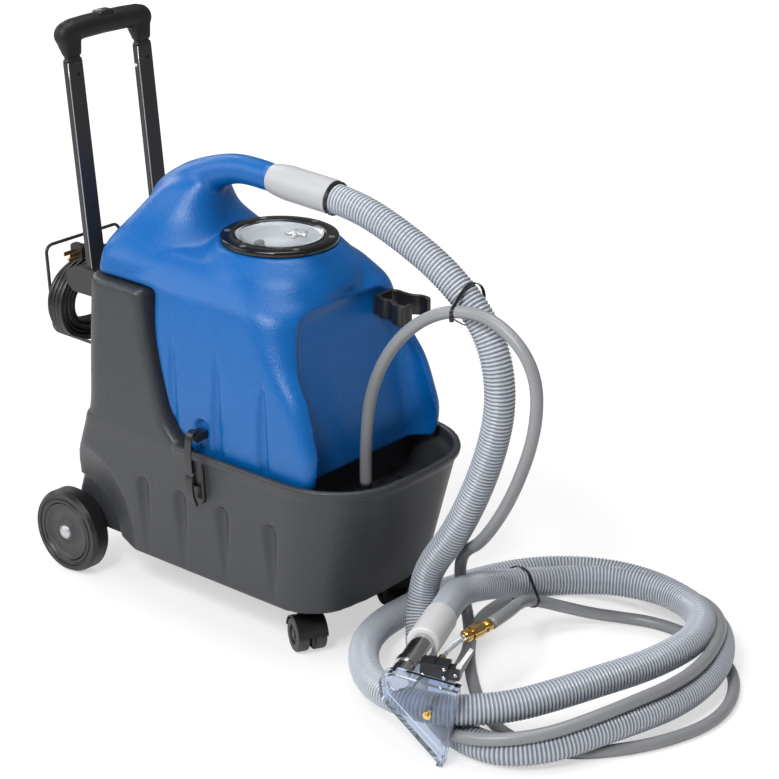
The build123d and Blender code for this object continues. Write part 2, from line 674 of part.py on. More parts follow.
VAC_RUNS = (
    (363.5, 0.0, 629.97), (432.0, 0.0, 626.86), (508.0, 0.0, 604.0), (598.0, 0.0, 563.0),
    (668.0, 0.0, 500.0), (690.0, 0.0, 412.0), (668.0, 0.0, 312.0), (616.0, -2.0, 196.0),
    (573.0, -8.0, 102.0), (557.0, -24.0, 42.0),
)
VAC_TAIL = (
    (646.0, -67.0, 107.0), (630.0, -26.0, 107.0), (613.0, 20.0, 101.0), (602.0, 70.0, 82.0),
)
SOL_RUNS = (
    (467.0, -12.0, 232.0), (466.0, -13.0, 318.0), (488.0, -18.0, 402.0), (541.0, -26.0, 478.0),
    (616.0, -31.0, 530.0), (697.0, -31.0, 537.0), (762.0, -30.0, 487.0), (767.0, -28.0, 402.0),
    (725.0, -20.0, 290.0), (664.0, -3.0, 193.0), (592.0, 42.0, 137.0), (552.0, 90.0, 40.0),
)
SOL_TAIL = (
    (746.8, -90.0, 140.5), (752.0, -50.0, 141.5), (746.0, -8.0, 133.0), (730.0, 36.0, 114.0),
    (704.0, 82.0, 92.0), (676.0, 130.0, 72.0), (654.0, 176.0, 62.0),
)


def coil_layer(layer):
    """Oval ring that one layer of wound hose fills."""
    x, y, outer, inner, foot, top = layer
    body = extrude(Ellipse(*outer), amount=top - foot)
    body = fillet(body.edges(), 12)
    body -= extrude(Ellipse(*inner), amount=top - foot)
    return Pos(x, y, foot) * body


def cords():
    """Both hoses and the lead: free tubes, and one solid for each coil."""
    free = lay("vac_hose", VAC_RUNS, VAC_R)
    save(free + lay("vac_hose end", VAC_TAIL, VAC_R), "vac_hose")
    free = lay("sol_hose", SOL_RUNS, SOL_R)
    save(free + lay("sol_hose end", SOL_TAIL, SOL_R), "sol_hose")
    save(coil_layer(COIL_LOW) + coil_layer(COIL_TOP), "hose_coil")
    save(coil_layer(SOL_COIL), "sol_coil")


def power_lead():
    """Strain relief, short lead, wound hank and the plug in the bail."""
    relief = turned_across([(LEAD_R + 0.1, 0), (LEAD_R + 0.1, 24), (6, 24), (9.5, 4), (13, 4),
                            (13, 0)], 0, 0)
    save(Pos(51, 0, 322) * Rot(0, 0, 90) * relief, "lead_relief")
    lead = ((46.0, 0.0, 322.0), (6.0, 0.0, 322.0), (-26.0, 8.0, 330.0), (-52.0, 22.0, 345.0))
    free = lay("power_lead", lead, LEAD_R)
    outer = Ellipse(95, 60) - Ellipse(64, 32)
    hank = extrude(Plane(origin=(-46, 0, 386), x_dir=(0, 1, 0), z_dir=(-1, 0, 0)) * outer,
                   amount=32)
    save(hank, "lead_hank")
    tail = ((-57.0, -27.5, 463.0), (-58.0, -8.0, 462.0), (-60.0, 12.0, 455.0),
            (-62.0, 28.0, 443.0))
    save(free + lay("power_lead end", tail, LEAD_R), "power_lead")
    body = turned_across([(0, -52), (15, -52), (15, -46), (11, -42), (9, -33), (6, -28), (0, -28)],
                         0, 0)
    body = body & block(-12, 12, -60, 0, -14, 14)
    save(Pos(-57, 0, 463) * body, "plug_body")
    blades = block(-64, -62.4, -71, -52.1, 460, 466) + block(-51.6, -50, -71, -52.1, 460, 466)
    blades += Pos(-57, -60.5, 455) * Rot(90, 0, 0) * Cylinder(2.4, 17)
    save(blades, "plug_blades")


# ---------------------------------------------------------------- hand tool
def tool(shape, name):
    """Write one piece of the hand tool, drawn in the tool's own frame."""
    place = Plane(origin=TOOL_AT, x_dir=(cos(radians(TOOL_TURN)), sin(radians(TOOL_TURN)), 0),
                  z_dir=(sin(radians(TOOL_TURN)), -cos(radians(TOOL_TURN)), 0))
    save(place.location * shape, name)


def hand_tool():
    """Suction head, tube, cuff, valve, trigger, spray jet and couplings."""
    head_path = FilletPolyline((-22, 21, -17), (81, 8, -17), (63, -104, -17), (-19, -20, -17),
                               radius=[17, 4, 4, 17], close=True)
    head = extrude(make_face(head_path), amount=17)
    room_path = FilletPolyline((-17, 16, -14.5), (86, 3, -14.5), (71, -100, -14.5),
                               (-14, -17, -14.5), radius=[14, 2, 2, 14], close=True)
    head -= extrude(make_face(room_path), amount=12)
    lip_turn = 9.1
    lip = Pos(70.5, -48, -8.5) * Rot(0, 0, -lip_turn) * Box(8, 113, 22)
    lip -= Pos(70.5, -48, -8.5) * Rot(0, 0, -lip_turn) * Box(20, 104, 8)
    head += lip
    head -= Pos(0, 0, -14) * Cylinder(14.5, 10)
    tool(head, "tool_head")
    pipe = Pos(0, 0, -64) * Cylinder(16, 93.6) - Pos(0, 0, -64) * Cylinder(14.5, 100)
    tool(pipe, "tool_tube")
    cuff = Pos(0, 0, -160) * Cylinder(23, 80)
    cuff = fillet(cuff.edges(), 3)
    cuff -= Pos(0, 0, -115) * Cylinder(16.05, 34)
    cuff -= Pos(0, 0, -160) * Cylinder(14.5, 90)
    cuff -= Pos(0, 0, -190) * Cylinder(VAC_R + 0.15, 40)
    tool(cuff, "tool_cuff")
    band = Pos(0, 0, -52) * (Cylinder(18.2, 14) - Cylinder(16.1, 20))
    band += Pos(21, 6, -52) * Box(8, 12, 14)
    band += Pos(21, 15, -52) * Rot(90, 0, 0) * Cylinder(2.6, 6)
    band += Pos(52, 0, -18.7) * Box(24, 14, 3)
    tool(band, "tool_clamp")
    valve = Pos(52, 18, VALVE_W) * Box(54, 26, 22)
    valve = fillet(valve.edges().filter_by(Axis.Z), 4)
    valve -= Pos(80, 26, VALVE_W) * Box(18, 13, 8.6)
    tool(valve, "valve_block")
    lever = Pos(0, 15, 0) * Box(5, 30, 7.6) + Cylinder(3.4, 7.6)
    tool(Pos(76, 25.5, VALVE_W) * Rot(0, 0, -30) * lever, "trigger")
    fittings = Pos(46, 20, VALVE_W - 18) * Cylinder(5.5, 13.6)
    coupler = Pos(0, 0, 23) * Cylinder(6, 46) + Pos(0, 0, 5) * Cylinder(8.5, 8)
    coupler += Pos(0, 0, 42) * Cylinder(8.5, 8)
    seat = Plane(origin=(62, 31, -100), x_dir=(0, 1, 0), z_dir=(28, 3, -50)).location
    fittings += seat * coupler
    fittings += Pos(46, -30, 4) * Cylinder(5.5, 7.8) + Pos(46, -30, 9) * Cylinder(3, 5)
    tool(fittings, "brass_fittings")
    sleeve = Cylinder(10, 18) - Cylinder(6 + RUN, 30)
    tool(seat * Pos(0, 0, 20) * sleeve, "coupler_sleeve")
    feed = ((46.0, 20.0, -56.5), (46.0, 20.0, -68.0), (50.0, 24.5, -79.0),
            (56.3, 29.2, -89.0), (61.8, 30.9, -99.4))
    tool(lay("feed_hose", feed, 4.0), "feed_hose")


save(base_tub(), "base_tub")
save(solution_tank(), "solution_tank")
save(filler_cap() + outlet(), "tank_fittings")
save(vac_motor(), "vac_motor")
save(pump(), "pump")
save(recovery_tank(), "recovery_tank")
lid_pieces()
float_pieces()
rear_wheels()
casters()
latches()
handle()
cord_bail()
switches()
tool_clip()
hose_cuff()
cords()
power_lead()
hand_tool()
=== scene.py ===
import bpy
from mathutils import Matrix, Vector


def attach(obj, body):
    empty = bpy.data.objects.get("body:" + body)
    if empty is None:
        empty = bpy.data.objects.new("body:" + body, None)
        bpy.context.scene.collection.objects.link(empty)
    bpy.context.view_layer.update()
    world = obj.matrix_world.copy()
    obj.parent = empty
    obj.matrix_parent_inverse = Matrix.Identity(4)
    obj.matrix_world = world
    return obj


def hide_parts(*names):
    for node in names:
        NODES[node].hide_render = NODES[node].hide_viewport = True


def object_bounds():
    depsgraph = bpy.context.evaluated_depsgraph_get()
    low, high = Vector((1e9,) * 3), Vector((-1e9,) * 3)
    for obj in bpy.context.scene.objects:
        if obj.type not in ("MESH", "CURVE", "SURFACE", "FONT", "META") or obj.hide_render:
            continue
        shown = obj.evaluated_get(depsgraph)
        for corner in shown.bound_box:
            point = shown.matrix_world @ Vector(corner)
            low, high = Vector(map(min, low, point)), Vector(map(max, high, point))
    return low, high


bl_info = {
    "name": "Portable carpet cleaner dresser",
    "version": (1, 0, 0),
    "blender": (4, 5, 0),
    "location": "3D View > Sidebar > Carpet Cleaner",
    "description": "Dresses the carpet cleaner's frame with mouldings, hoses, lead and finishes",
    "category": "Object",
}

import bpy
import numpy as np
from bpy.props import FloatProperty, FloatVectorProperty, IntProperty, PointerProperty
from mathutils import Matrix, Vector

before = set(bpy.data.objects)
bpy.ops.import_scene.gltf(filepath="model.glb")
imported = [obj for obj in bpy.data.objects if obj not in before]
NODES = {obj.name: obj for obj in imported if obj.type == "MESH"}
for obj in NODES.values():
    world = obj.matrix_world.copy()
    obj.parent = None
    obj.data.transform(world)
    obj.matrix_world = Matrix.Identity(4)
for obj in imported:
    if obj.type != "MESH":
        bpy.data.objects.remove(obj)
CAD_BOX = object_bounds()
# the rear axle stands here in the frame; the tables below count from it
AXLE = np.array([-0.2271, 0.0, 0.0])


def mm(rows):
    """Rows of numbers that are written in millimetres, in metres."""
    return np.array(rows) / 1000


# control points of the vacuum hose: from the cuff over the top, two turns, to the hand tool
VAC_ROUTE = mm((
    (363.5, 0, 630), (432, 0, 626.9), (508, 0, 604), (598, 0, 563), (668, 0, 500), (690, 0, 412),
    (668, 0, 312), (622, -2, 204), (578, -6, 140), (567, -8, 96), (573, -20, 60), (592, -42, 33),
    (622, -72, 21.5), (664, -116, 21.5), (706, -150, 22), (752, -174, 22), (798, -183, 22),
    (842, -172, 23), (880, -138, 28), (908, -85, 36), (930, -22, 38), (943, 48, 34),
    (944, 118, 34), (930, 184, 38), (893, 246, 36), (843, 298, 24), (781, 332, 22), (710, 346, 22),
    (641, 334, 22), (586, 300, 22), (542, 248, 22), (513, 180, 22), (497, 110, 22), (494, 42, 24),
    (504, -26, 30), (530, -86, 37), (572, -142, 46), (624, -188, 54), (680, -214, 62),
    (736, -212, 66), (783, -186, 66), (824, -140, 68), (852, -85, 72), (876, -20, 74),
    (896, 50, 72), (906, 115, 72), (902, 170, 70), (878, 222, 68), (834, 254, 66), (780, 264, 66),
    (724, 248, 66), (676, 212, 67), (640, 166, 70), (618, 118, 78), (608, 70, 90), (610, 20, 101),
    (628, -26, 107), (646, -67, 107),
))
# control points of the solution hose: out of the tub, beside the vacuum hose, two turns, coupler
SOLUTION_ROUTE = mm((
    (467, -12, 232), (466, -13, 318), (488, -18, 402), (541, -26, 478), (616, -31, 530),
    (697, -31, 537), (762, -30, 487), (767, -28, 402), (725, -20, 290), (664, -3, 200),
    (604, 36, 155), (572, 68, 110), (566, 80, 72), (578, 78, 42), (604, 52, 28.5), (636, 10, 27),
    (662, -36, 34), (688, -86, 46), (703, -132, 51.5), (718, -170, 51.5), (745, -200, 36),
    (785, -208, 38.5), (838, -192, 46), (884, -150, 54), (914, -92, 63), (934, -24, 67),
    (944, 44, 64), (944, 110, 63), (928, 178, 64), (898, 240, 62), (850, 284, 57), (786, 308, 47),
    (716, 312, 30), (650, 298, 12), (600, 262, 8.6), (572, 208, 8.6), (566, 146, 8.6),
    (584, 86, 8.6), (620, 30, 8.6), (668, -26, 8.6), (722, -78, 8.6), (780, -116, 8.6),
    (836, -126, 8.6), (892, -106, 8.6), (940, -50, 8.6), (972, 14, 8.6), (988, 82, 8.6),
    (976, 150, 8.6), (938, 214, 8.6), (880, 252, 8.6), (828, 270, 8.6), (768, 268, 8.6),
    (724, 244, 11), (698, 214, 20), (672, 178, 36), (656, 142, 54), (664, 98, 74), (692, 50, 98),
    (722, 0, 125), (743, -45, 139), (746.8, -90, 140.5),
))
# the mains lead before and after its hank
LEAD_START = mm(((46, 0, 322), (6, 0, 322), (-26, 8, 330), (-50, 20, 341)))
LEAD_END = mm(((-60, 12, 455), (-58, -8, 462), (-57, -27.5, 463)))

# stacked outlines: z, rear x, front x, half width, corner radius at the rear and at the front
TANK_LOW = mm((
    (258.6, 253, 471, 139, 14, 14), (270, 251, 478, 142, 14, 16), (304, 219, 481, 144.5, 14, 18),
    (333, 209, 473, 145, 14, 20), (378, 195.5, 458, 144, 14, 26), (419, 185.5, 433, 141.5, 14, 36),
    (454, 179, 423, 138.5, 20, 50), (483, 173, 419, 134.5, 30, 62), (502, 170, 405, 124, 30, 66),
    (516, 170, 397, 113, 30, 70),
))
TANK_TOP = mm((
    (481.5, 60.5, 300, 132.5, 30, 30), (486, 58.5, 310, 134.5, 30, 30),
    (500, 58.5, 395, 125, 31, 66), (515, 61, 398, 114, 34, 70), (524, 67, 390, 104, 38, 74),
    (530, 76, 376, 92, 40, 70),
))
TANK_ROOT = mm((
    (488, 59.5, 262, 131, 32, 125), (508, 59.5, 246, 129.5, 34, 122),
    (522, 61.5, 229, 121.5, 36, 115), (533, 64.5, 216, 110.5, 38, 104),
    (543, 68.5, 207, 97.5, 38, 90), (554, 73.5, 200, 83.5, 37, 77), (569, 81, 194, 68, 35, 63),
    (586, 93, 190, 54, 31, 48), (602, 110, 188, 41, 26, 36), (620, 148, 187, 19, 15, 17),
))
TANK_HOLLOW = mm((
    (245, 448.5, 540, 127, 28, 2), (285, 443, 540, 126, 28, 2), (380, 427, 540, 119, 24, 2),
    (440, 418, 540, 110, 20, 2), (478, 413, 540, 96, 16, 2), (492, 420, 540, 70, 16, 2),
))
# arch duct: x, z, radius
TANK_DUCT = mm((
    (291, 633.3, 20.5), (246, 635.3, 20.7), (212, 631.5, 22), (169, 616, 25.5), (130, 594, 30),
    (100, 562, 37), (96, 520, 38),
))
# side channels: x, height of the point
TANK_CHANNELS = ((0.226, 0.442), (0.31, 0.432), (0.395, 0.412))
HULL = mm((
    (70, -13, 471, 133, 16, 50), (72.5, -18, 476, 138, 16, 53),
    (78, -18.5, 479.5, 140.3, 18, 55.5), (140, 0, 498, 144.7, 20, 67), (200, 22, 516, 149, 22, 79),
    (250, 40.5, 531, 152.5, 24, 88), (259, 43.5, 534, 153.5, 25, 90.5),
    (271.5, 47, 538, 154.5, 26, 93),
))
# how far the middle of the nose swells past its corners
HULL_BOW = 0.019
RIM = mm((
    (258.5, 236, 534.5, 154.5, 4, 90.5), (262, 236, 539.5, 157, 4, 94.5),
    (272.5, 236, 541.5, 157.5, 4, 95.5),
))
HULL_ROOM = mm((
    (79, 212, 468, 127, 10, 50), (140, 212, 488, 131, 10, 60), (200, 212, 505, 133.5, 10, 70),
    (245, 212, 520, 142, 10, 80), (256, 246, 527.5, 147.5, 10, 84), (300, 246, 530.5, 148, 10, 86),
))
COLUMN = mm((
    (200, 22, 300, 147, 22, 10), (262, 44, 262, 154, 30, 12), (275, 48, 240, 154.5, 34, 12),
    (300, 51, 217, 154.5, 36, 12), (350, 52.5, 200, 153.5, 36, 12), (400, 54, 185, 152, 36, 12),
    (440, 55.5, 176, 150.5, 36, 12), (474, 56.5, 169.5, 149, 36, 12),
    (479.5, 59.5, 165, 146, 35, 12),
))
# x of each flute, and its rows: z, y, half width, half depth
FLUTES = (0.165, 0.239, 0.32, 0.41)
FLUTE_ROWS = mm((
    (60, -147, 7.5, 7.5), (120, -149.5, 9.5, 9.5), (185, -152.5, 12.5, 12.5),
    (193, -152.5, 11.8, 11.8), (198.5, -152.5, 8.5, 8.5), (200.5, -152.5, 4, 4),
))
TANK_VOXEL, HULL_VOXEL = 0.0026, 0.0033
TANK_FLOW = 44
# middle of the lid, of each latch and of each handle rail
LID = (0.299, 0)
LATCH_X = 0.2815
RAIL_Y = 0.068
RAIL_LEAN = np.radians(6.12)
# x and z from which a rail's own frame counts
RAIL_FOOT = (0.00457, 0.44)
# the hand tool: where it lies, the way it is turned, and how far its valve stands out
TOOL_AT = (0.719, -0.253, 0.107)
TOOL_TURN = np.radians(21.43)
VALVE_OUT = 0.0316
# a direction that no path takes, from which the sides of pipes are drawn
SLANT = (0.25, 0.75, 0.61)
PIPE_SIDES = 20
TIE_THICK = 0.0013
# the lead's hank: turns in a layer, steps along and between layers, x and z, half axes, flatness
HANK_ROW = 4
HANK_STEP, HANK_RISE = 0.0077, 0.0078
HANK_AT = (-0.0505, 0.386)
HANK_WIDE, HANK_TALL = 0.0705, 0.0385
HANK_FLAT = 2.2


def length(name, description, default):
    """A length that a user may change."""
    return FloatProperty(name=name, description=description, default=default, unit="LENGTH")


def colour(name, description, default):
    """A colour that a user may change."""
    return FloatVectorProperty(name=name, description=description, subtype="COLOR",
                               default=default, min=0, max=1)


class CleanerSizes(bpy.types.PropertyGroup):
    """Sizes that a user may change."""

    vac_radius: length("Vacuum hose radius", "Outside radius of the ribbed hose", 0.021)
    rib_pitch: length("Rib pitch", "Distance between two ribs of the vacuum hose", 0.0052)
    rib_depth: length("Rib depth", "Depth of the valleys between the ribs", 0.0019)
    solution_radius: length("Solution hose radius", "Outside radius of the smooth hose", 0.0085)
    lead_radius: length("Lead radius", "Outside radius of the mains lead", 0.004)
    lead_turns: IntProperty(name="Lead turns", description="Turns of the lead in its hank",
                            default=16)
    tie_width: length("Tie width", "Width of a cable tie", 0.0048)


class CleanerColours(bpy.types.PropertyGroup):
    """Colours that a user may change."""

    shell: colour("Tank blue", "Moulded blue of the recovery tank", (0.0, 0.096, 0.335))
    base: colour("Base charcoal", "Moulded charcoal of the base", (0.03, 0.032, 0.037))
    hose: colour("Hose grey", "Blue grey of the ribbed hose", (0.5, 0.53, 0.58))
    line: colour("Line grey", "Grey of the solution hose", (0.235, 0.24, 0.25))
    floor: colour("Floor white", "White of the floor and backdrop", (0.9, 0.9, 0.9))


def sizes():
    return bpy.context.scene.cleaner_sizes


def colours():
    return bpy.context.scene.cleaner_colours


# ---- meshes


def linked(name, data):
    """New object of the scene that shows this data."""
    obj = bpy.data.objects.new(name, data)
    bpy.context.scene.collection.objects.link(obj)
    return obj


def put(name, part, finish, body="machine", nodes=(), smooth=True):
    """New mesh object at the origin from a part (vertex array and faces), with its finish, riding
    on a body and standing for CAD nodes."""
    mesh = bpy.data.meshes.new(name)
    mesh.from_pydata(np.asarray(part[0], float).tolist(), [], part[1])
    mesh.validate()
    if smooth:
        mesh.shade_smooth()
    obj = linked(name, mesh)
    if finish:
        mesh.materials.append(FINISHES[finish])
    if body:
        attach(obj, body)
    if nodes:
        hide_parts(*nodes)
    return obj


def wrapped(rings, count, ends=True):
    """Faces of a grid of rings whose points join round: quads (i, j), (i, j+1), (i+1, j+1), (i+1,
    j), with one flat face on each end ring."""
    i, j = np.meshgrid(np.arange(rings - 1), np.arange(count), indexing="ij")
    a = i * count + j
    b = i * count + (j + 1) % count
    faces = np.stack([a, b, b + count, a + count], axis=-1).reshape(-1, 4).tolist()
    if ends:
        faces.append(list(range(count))[::-1])
        faces.append(list(range((rings - 1) * count, rings * count)))
    return faces


def smooth_rows(rows, count):
    """Rows of numbers read along a Catmull-Rom curve: between rows k and k+1 the value is the cubic
    whose slopes are half the difference of their neighbours; the first column rises steadily."""
    rows = np.asarray(rows, float)
    t = np.linspace(0, len(rows) - 1, count)
    k = np.clip(t.astype(int), 0, len(rows) - 2)
    f = (t - k)[:, None]
    p1, p2 = rows[k], rows[k + 1]
    p0, p3 = rows[np.maximum(k - 1, 0)], rows[np.minimum(k + 2, len(rows) - 1)]
    return 0.5 * (2 * p1 + (p2 - p0) * f + (2 * p0 - 5 * p1 + 4 * p2 - p3) * f**2
                  + (3 * p1 - p0 - 3 * p2 + p3) * f**3)


def stacked(rows, steps=10, bow=0.0):
    """Closed body of rounded rectangles one above the other. A row is z, rear x, front x, half
    width, rear corner radius, front corner radius; each corner is a quarter circle about its own
    centre, and the front swells by bow * (1 - (y / half width) squared)."""
    rows = np.asarray(rows, float)
    z, rear, front, half, r_rear, r_front = rows.T[:, :, None]
    quarter = np.repeat(np.arange(4), steps)
    angle = (quarter + np.tile(np.linspace(0, 1, steps), 4)) * np.pi / 2
    flat = np.linspace(-1, 1, steps)
    ahead = np.isin(quarter, (0, 3))
    left = np.isin(quarter, (0, 1))
    radius = np.where(ahead, r_front, r_rear)
    cx = np.where(ahead, front - r_front, rear + r_rear)
    cy = np.where(left, half - radius, radius - half)
    x = cx + radius * np.cos(angle)
    y = cy + radius * np.sin(angle)
    nose_y = (half - r_front) * flat[1:-1]
    x = np.concatenate([x, np.broadcast_to(front, nose_y.shape)], axis=1)
    y = np.concatenate([y, nose_y], axis=1)
    x = x + np.where(x > cx.max(), bow * (1 - (y / half) ** 2), 0)
    verts = np.stack([x, y, np.broadcast_to(z, x.shape)], axis=-1)
    return verts.reshape(-1, 3) + AXLE, wrapped(len(rows), x.shape[1])


def block(low, high, *outline):
    """Upright block between two heights, of one outline as a row of stacked() gives it."""
    return stacked([(low,) + outline, (high,) + outline])


def discs(rows, axis, count=32):
    """Closed body of ellipses one after another along an axis (0 x, 1 y, 2 z). A row is the place
    along the axis, the two centre coordinates, and the two half axes."""
    place, cu, cv, ru, rv = np.asarray(rows, float).T[:, :, None]
    angle = np.linspace(0, 2 * np.pi, count, endpoint=False)
    u = cu + ru * np.cos(angle)
    v = cv + rv * np.sin(angle)
    parts = {0: (place, u, v), 1: (v, place, u), 2: (u, v, place)}[axis]
    verts = np.stack(np.broadcast_arrays(*parts), axis=-1)
    return verts.reshape(-1, 3) + AXLE, wrapped(len(rows), count)


def lathe(rows, axis, centre, count):
    """Closed round body along an axis, about a fixed centre. A row is the place and the radius."""
    return discs([(place, *centre, radius, radius) for place, radius in rows], axis, count)


def mirrored(part):
    """The same body on the far side, turned right side out again."""
    verts, faces = part
    return verts * (1, -1, 1), [face[::-1] for face in faces]


def hollows(x, rows):
    """Upright body of ellipses on both sides of the machine. A row is z, y and the two half
    axes."""
    part = discs([(z, x, y, wide, deep) for z, y, wide, deep in rows], 2)
    return [part, mirrored(part)]


def join(parts):
    """Vertices and faces of several closed bodies as one list."""
    verts, faces, start = [], [], 0
    for v, f in parts:
        verts.append(v)
        faces += [[k + start for k in face] for face in f]
        start += len(v)
    return np.concatenate(verts), faces


def turned(profile, centre, count=48):
    """Closed body of revolution about a vertical axis: radius and height follow the profile."""
    return lathe([(height, radius) for radius, height in profile], 2, centre, count)


def hoop(profile, centre, count=64):
    """Closed ring about a vertical axis: radius and height go round the profile's loop."""
    verts = turned(profile, centre, count)[0]
    faces = np.array(wrapped(len(profile) + 1, count, False)) % len(verts)
    return verts, faces.tolist()


def moved(part, shift):
    """The same body moved by a vector."""
    return part[0] + np.asarray(shift), part[1]


def unit(vectors):
    """The same directions, each one long."""
    return vectors / np.linalg.norm(vectors, axis=-1, keepdims=True)


def ribbon(path, half, low, high, axis):
    """Strip of metal or plastic on edge: the flat path, thickened by half to each side along its
    own normal, runs from low to high along an axis (0 x, 2 z)."""
    path = np.asarray(path, float)
    ahead = unit(np.gradient(path, axis=0))
    side = np.stack([-ahead[:, 1], ahead[:, 0]], axis=1) * np.broadcast_to(half, len(path))[:, None]
    loop = np.concatenate([path - side, (path + side)[::-1]])
    level = np.repeat((low, high), len(loop))[:, None]
    verts = np.hstack([np.tile(loop, (2, 1)), level])
    verts = verts if axis == 2 else verts[:, (2, 0, 1)]
    return verts + AXLE, wrapped(2, len(loop))


def run_along(path):
    """Arc length at each point of a path."""
    steps = np.linalg.norm(np.diff(path, axis=0), axis=1)
    return np.concatenate([[0], np.cumsum(steps)])


def even(path, spacing):
    """The same path read at equal distances along its length."""
    run = run_along(path)
    marks = np.linspace(0, run[-1], max(4, int(run[-1] / spacing) + 1))
    return np.stack([np.interp(marks, run, path[:, k]) for k in range(3)], axis=1)


def pipe(path, radius, count=PIPE_SIDES):
    """Tube about a path: point = path + radius * (side * cos(turn) + up * sin(turn)), where the
    radius may change along the path."""
    ahead = unit(np.gradient(path, axis=0))
    side = unit(np.cross(ahead, SLANT))
    up = np.cross(side, ahead)
    radius = np.broadcast_to(np.asarray(radius, float), len(path))[:, None, None]
    angle = np.linspace(0, 2 * np.pi, count, endpoint=False)[None, :, None]
    verts = path[:, None] + radius * (side[:, None] * np.cos(angle) + up[:, None] * np.sin(angle))
    return verts.reshape(-1, 3), wrapped(len(path), count)


def routed(points, spacing):
    """Even points of the open NURBS line that has these control points, which count from the rear
    axle. The line is read from a curve with no bevel."""
    curve = bpy.data.curves.new("route", "CURVE")
    curve.dimensions = "3D"
    curve.resolution_u = 24
    line = curve.splines.new("NURBS")
    line.points.add(len(points) - 1)
    flat = np.ones((len(points), 4))
    flat[:, :3] = np.asarray(points) + AXLE
    line.points.foreach_set("co", flat.ravel())
    line.order_u = 3
    line.use_endpoint_u = True
    holder = bpy.data.objects.new("route", curve)
    mesh = bpy.data.meshes.new_from_object(holder)
    path = np.empty(len(mesh.vertices) * 3)
    mesh.vertices.foreach_get("co", path)
    bpy.data.objects.remove(holder)
    bpy.data.meshes.remove(mesh)
    bpy.data.curves.remove(curve)
    return even(path.reshape(-1, 3), spacing)


def modify(obj, kind, name, **values):
    """Adds a modifier with its values."""
    modifier = obj.modifiers.new(name, kind)
    for key, value in values.items():
        setattr(modifier, key, value)


def even_out(obj, voxel, rounds):
    """Small even faces, softened over a number of rounds."""
    modify(obj, "REMESH", "even", mode="VOXEL", voxel_size=voxel)
    modify(obj, "SMOOTH", "soften", factor=0.5, iterations=rounds)
    apply_all(obj)


def apply_all(obj):
    """The object's mesh becomes what its modifiers show."""
    bpy.context.view_layer.update()
    seen = obj.evaluated_get(bpy.context.evaluated_depsgraph_get())
    mesh = bpy.data.meshes.new_from_object(seen)
    old = obj.data
    obj.modifiers.clear()
    obj.data = mesh
    mesh.name = obj.name
    bpy.data.meshes.remove(old)
    mesh.shade_smooth()


# ---- materials


def socket(sockets, key):
    """A node's socket by its name, or by its number where several share a name."""
    return sockets[int(key) if str(key).isdigit() else key]


def build(tree, made, nodes, links):
    """Adds nodes to a tree and joins them. A row of nodes is a name, a type, and the node's own
    settings and socket values; a link reads "node.socket > node.socket"."""
    for name, kind, values in nodes:
        node = made[name] = tree.nodes.new("ShaderNode" + kind)
        for key, value in values.items():
            if hasattr(node, key):
                setattr(node, key, value)
            else:
                socket(node.inputs, key).default_value = value
    for link in links:
        (source, out), (target, into) = (end.split(".") for end in link.split(" > "))
        tree.links.new(socket(made[source].outputs, out), socket(made[target].inputs, into))


def surface_group(name, inputs, nodes, links):
    """Node group that turns its inputs into a colour, a roughness and a normal."""
    group = bpy.data.node_groups.new(name, "ShaderNodeTree")
    for key, default in inputs.items():
        kind = "NodeSocketColor" if isinstance(default, tuple) else "NodeSocketFloat"
        entry = group.interface.new_socket(key, in_out="INPUT", socket_type=kind)
        entry.default_value = default
    for key, kind in (("Colour", "Color"), ("Roughness", "Float"), ("Normal", "Vector")):
        group.interface.new_socket(key, in_out="OUTPUT", socket_type="NodeSocket" + kind)
    ends = {"in": group.nodes.new("NodeGroupInput"), "out": group.nodes.new("NodeGroupOutput")}
    build(group, ends, nodes, links)


def moulded_group():
    """Moulded surface: cloudy shade over the colour, pebble for the bump, small change of gloss."""
    surface_group(
        "Moulded Surface",
        {"Colour": (0.5, 0.5, 0.5, 1), "Cloud": 0.08, "Speckle": 0.0, "Grain Size": 900.0,
         "Grain Depth": 0.15, "Gloss": 0.4, "Gloss Change": 0.08},
        (("place", "TexCoord", {}),
         ("cloud", "TexNoise", {"Scale": 14.0, "Detail": 4.0}),
         ("pebble", "TexNoise", {"Detail": 3.0}),
         ("offset", "Math", {"operation": "SUBTRACT", "1": 0.5}),
         ("fine", "Math", {"operation": "SUBTRACT", "1": 0.5}),
         ("dots", "Math", {"operation": "MULTIPLY_ADD", "2": 1.0}),
         ("shade", "Math", {"operation": "MULTIPLY_ADD"}),
         ("tint", "VectorMath", {"operation": "SCALE"}),
         ("gloss", "Math", {"operation": "MULTIPLY_ADD"}),
         ("bump", "Bump", {"Distance": 0.0005})),
        ("place.Object > cloud.Vector", "place.Object > pebble.Vector",
         "in.Grain Size > pebble.Scale", "cloud.Fac > offset.0", "pebble.Fac > fine.0",
         "fine.0 > dots.0", "in.Speckle > dots.1",
         "offset.0 > shade.0", "in.Cloud > shade.1", "dots.0 > shade.2", "in.Colour > tint.0",
         "shade.0 > tint.Scale", "tint.Vector > out.Colour", "offset.0 > gloss.0",
         "in.Gloss Change > gloss.1", "in.Gloss > gloss.2", "gloss.0 > out.Roughness",
         "pebble.Fac > bump.Height", "in.Grain Depth > bump.Strength", "bump.Normal > out.Normal"))


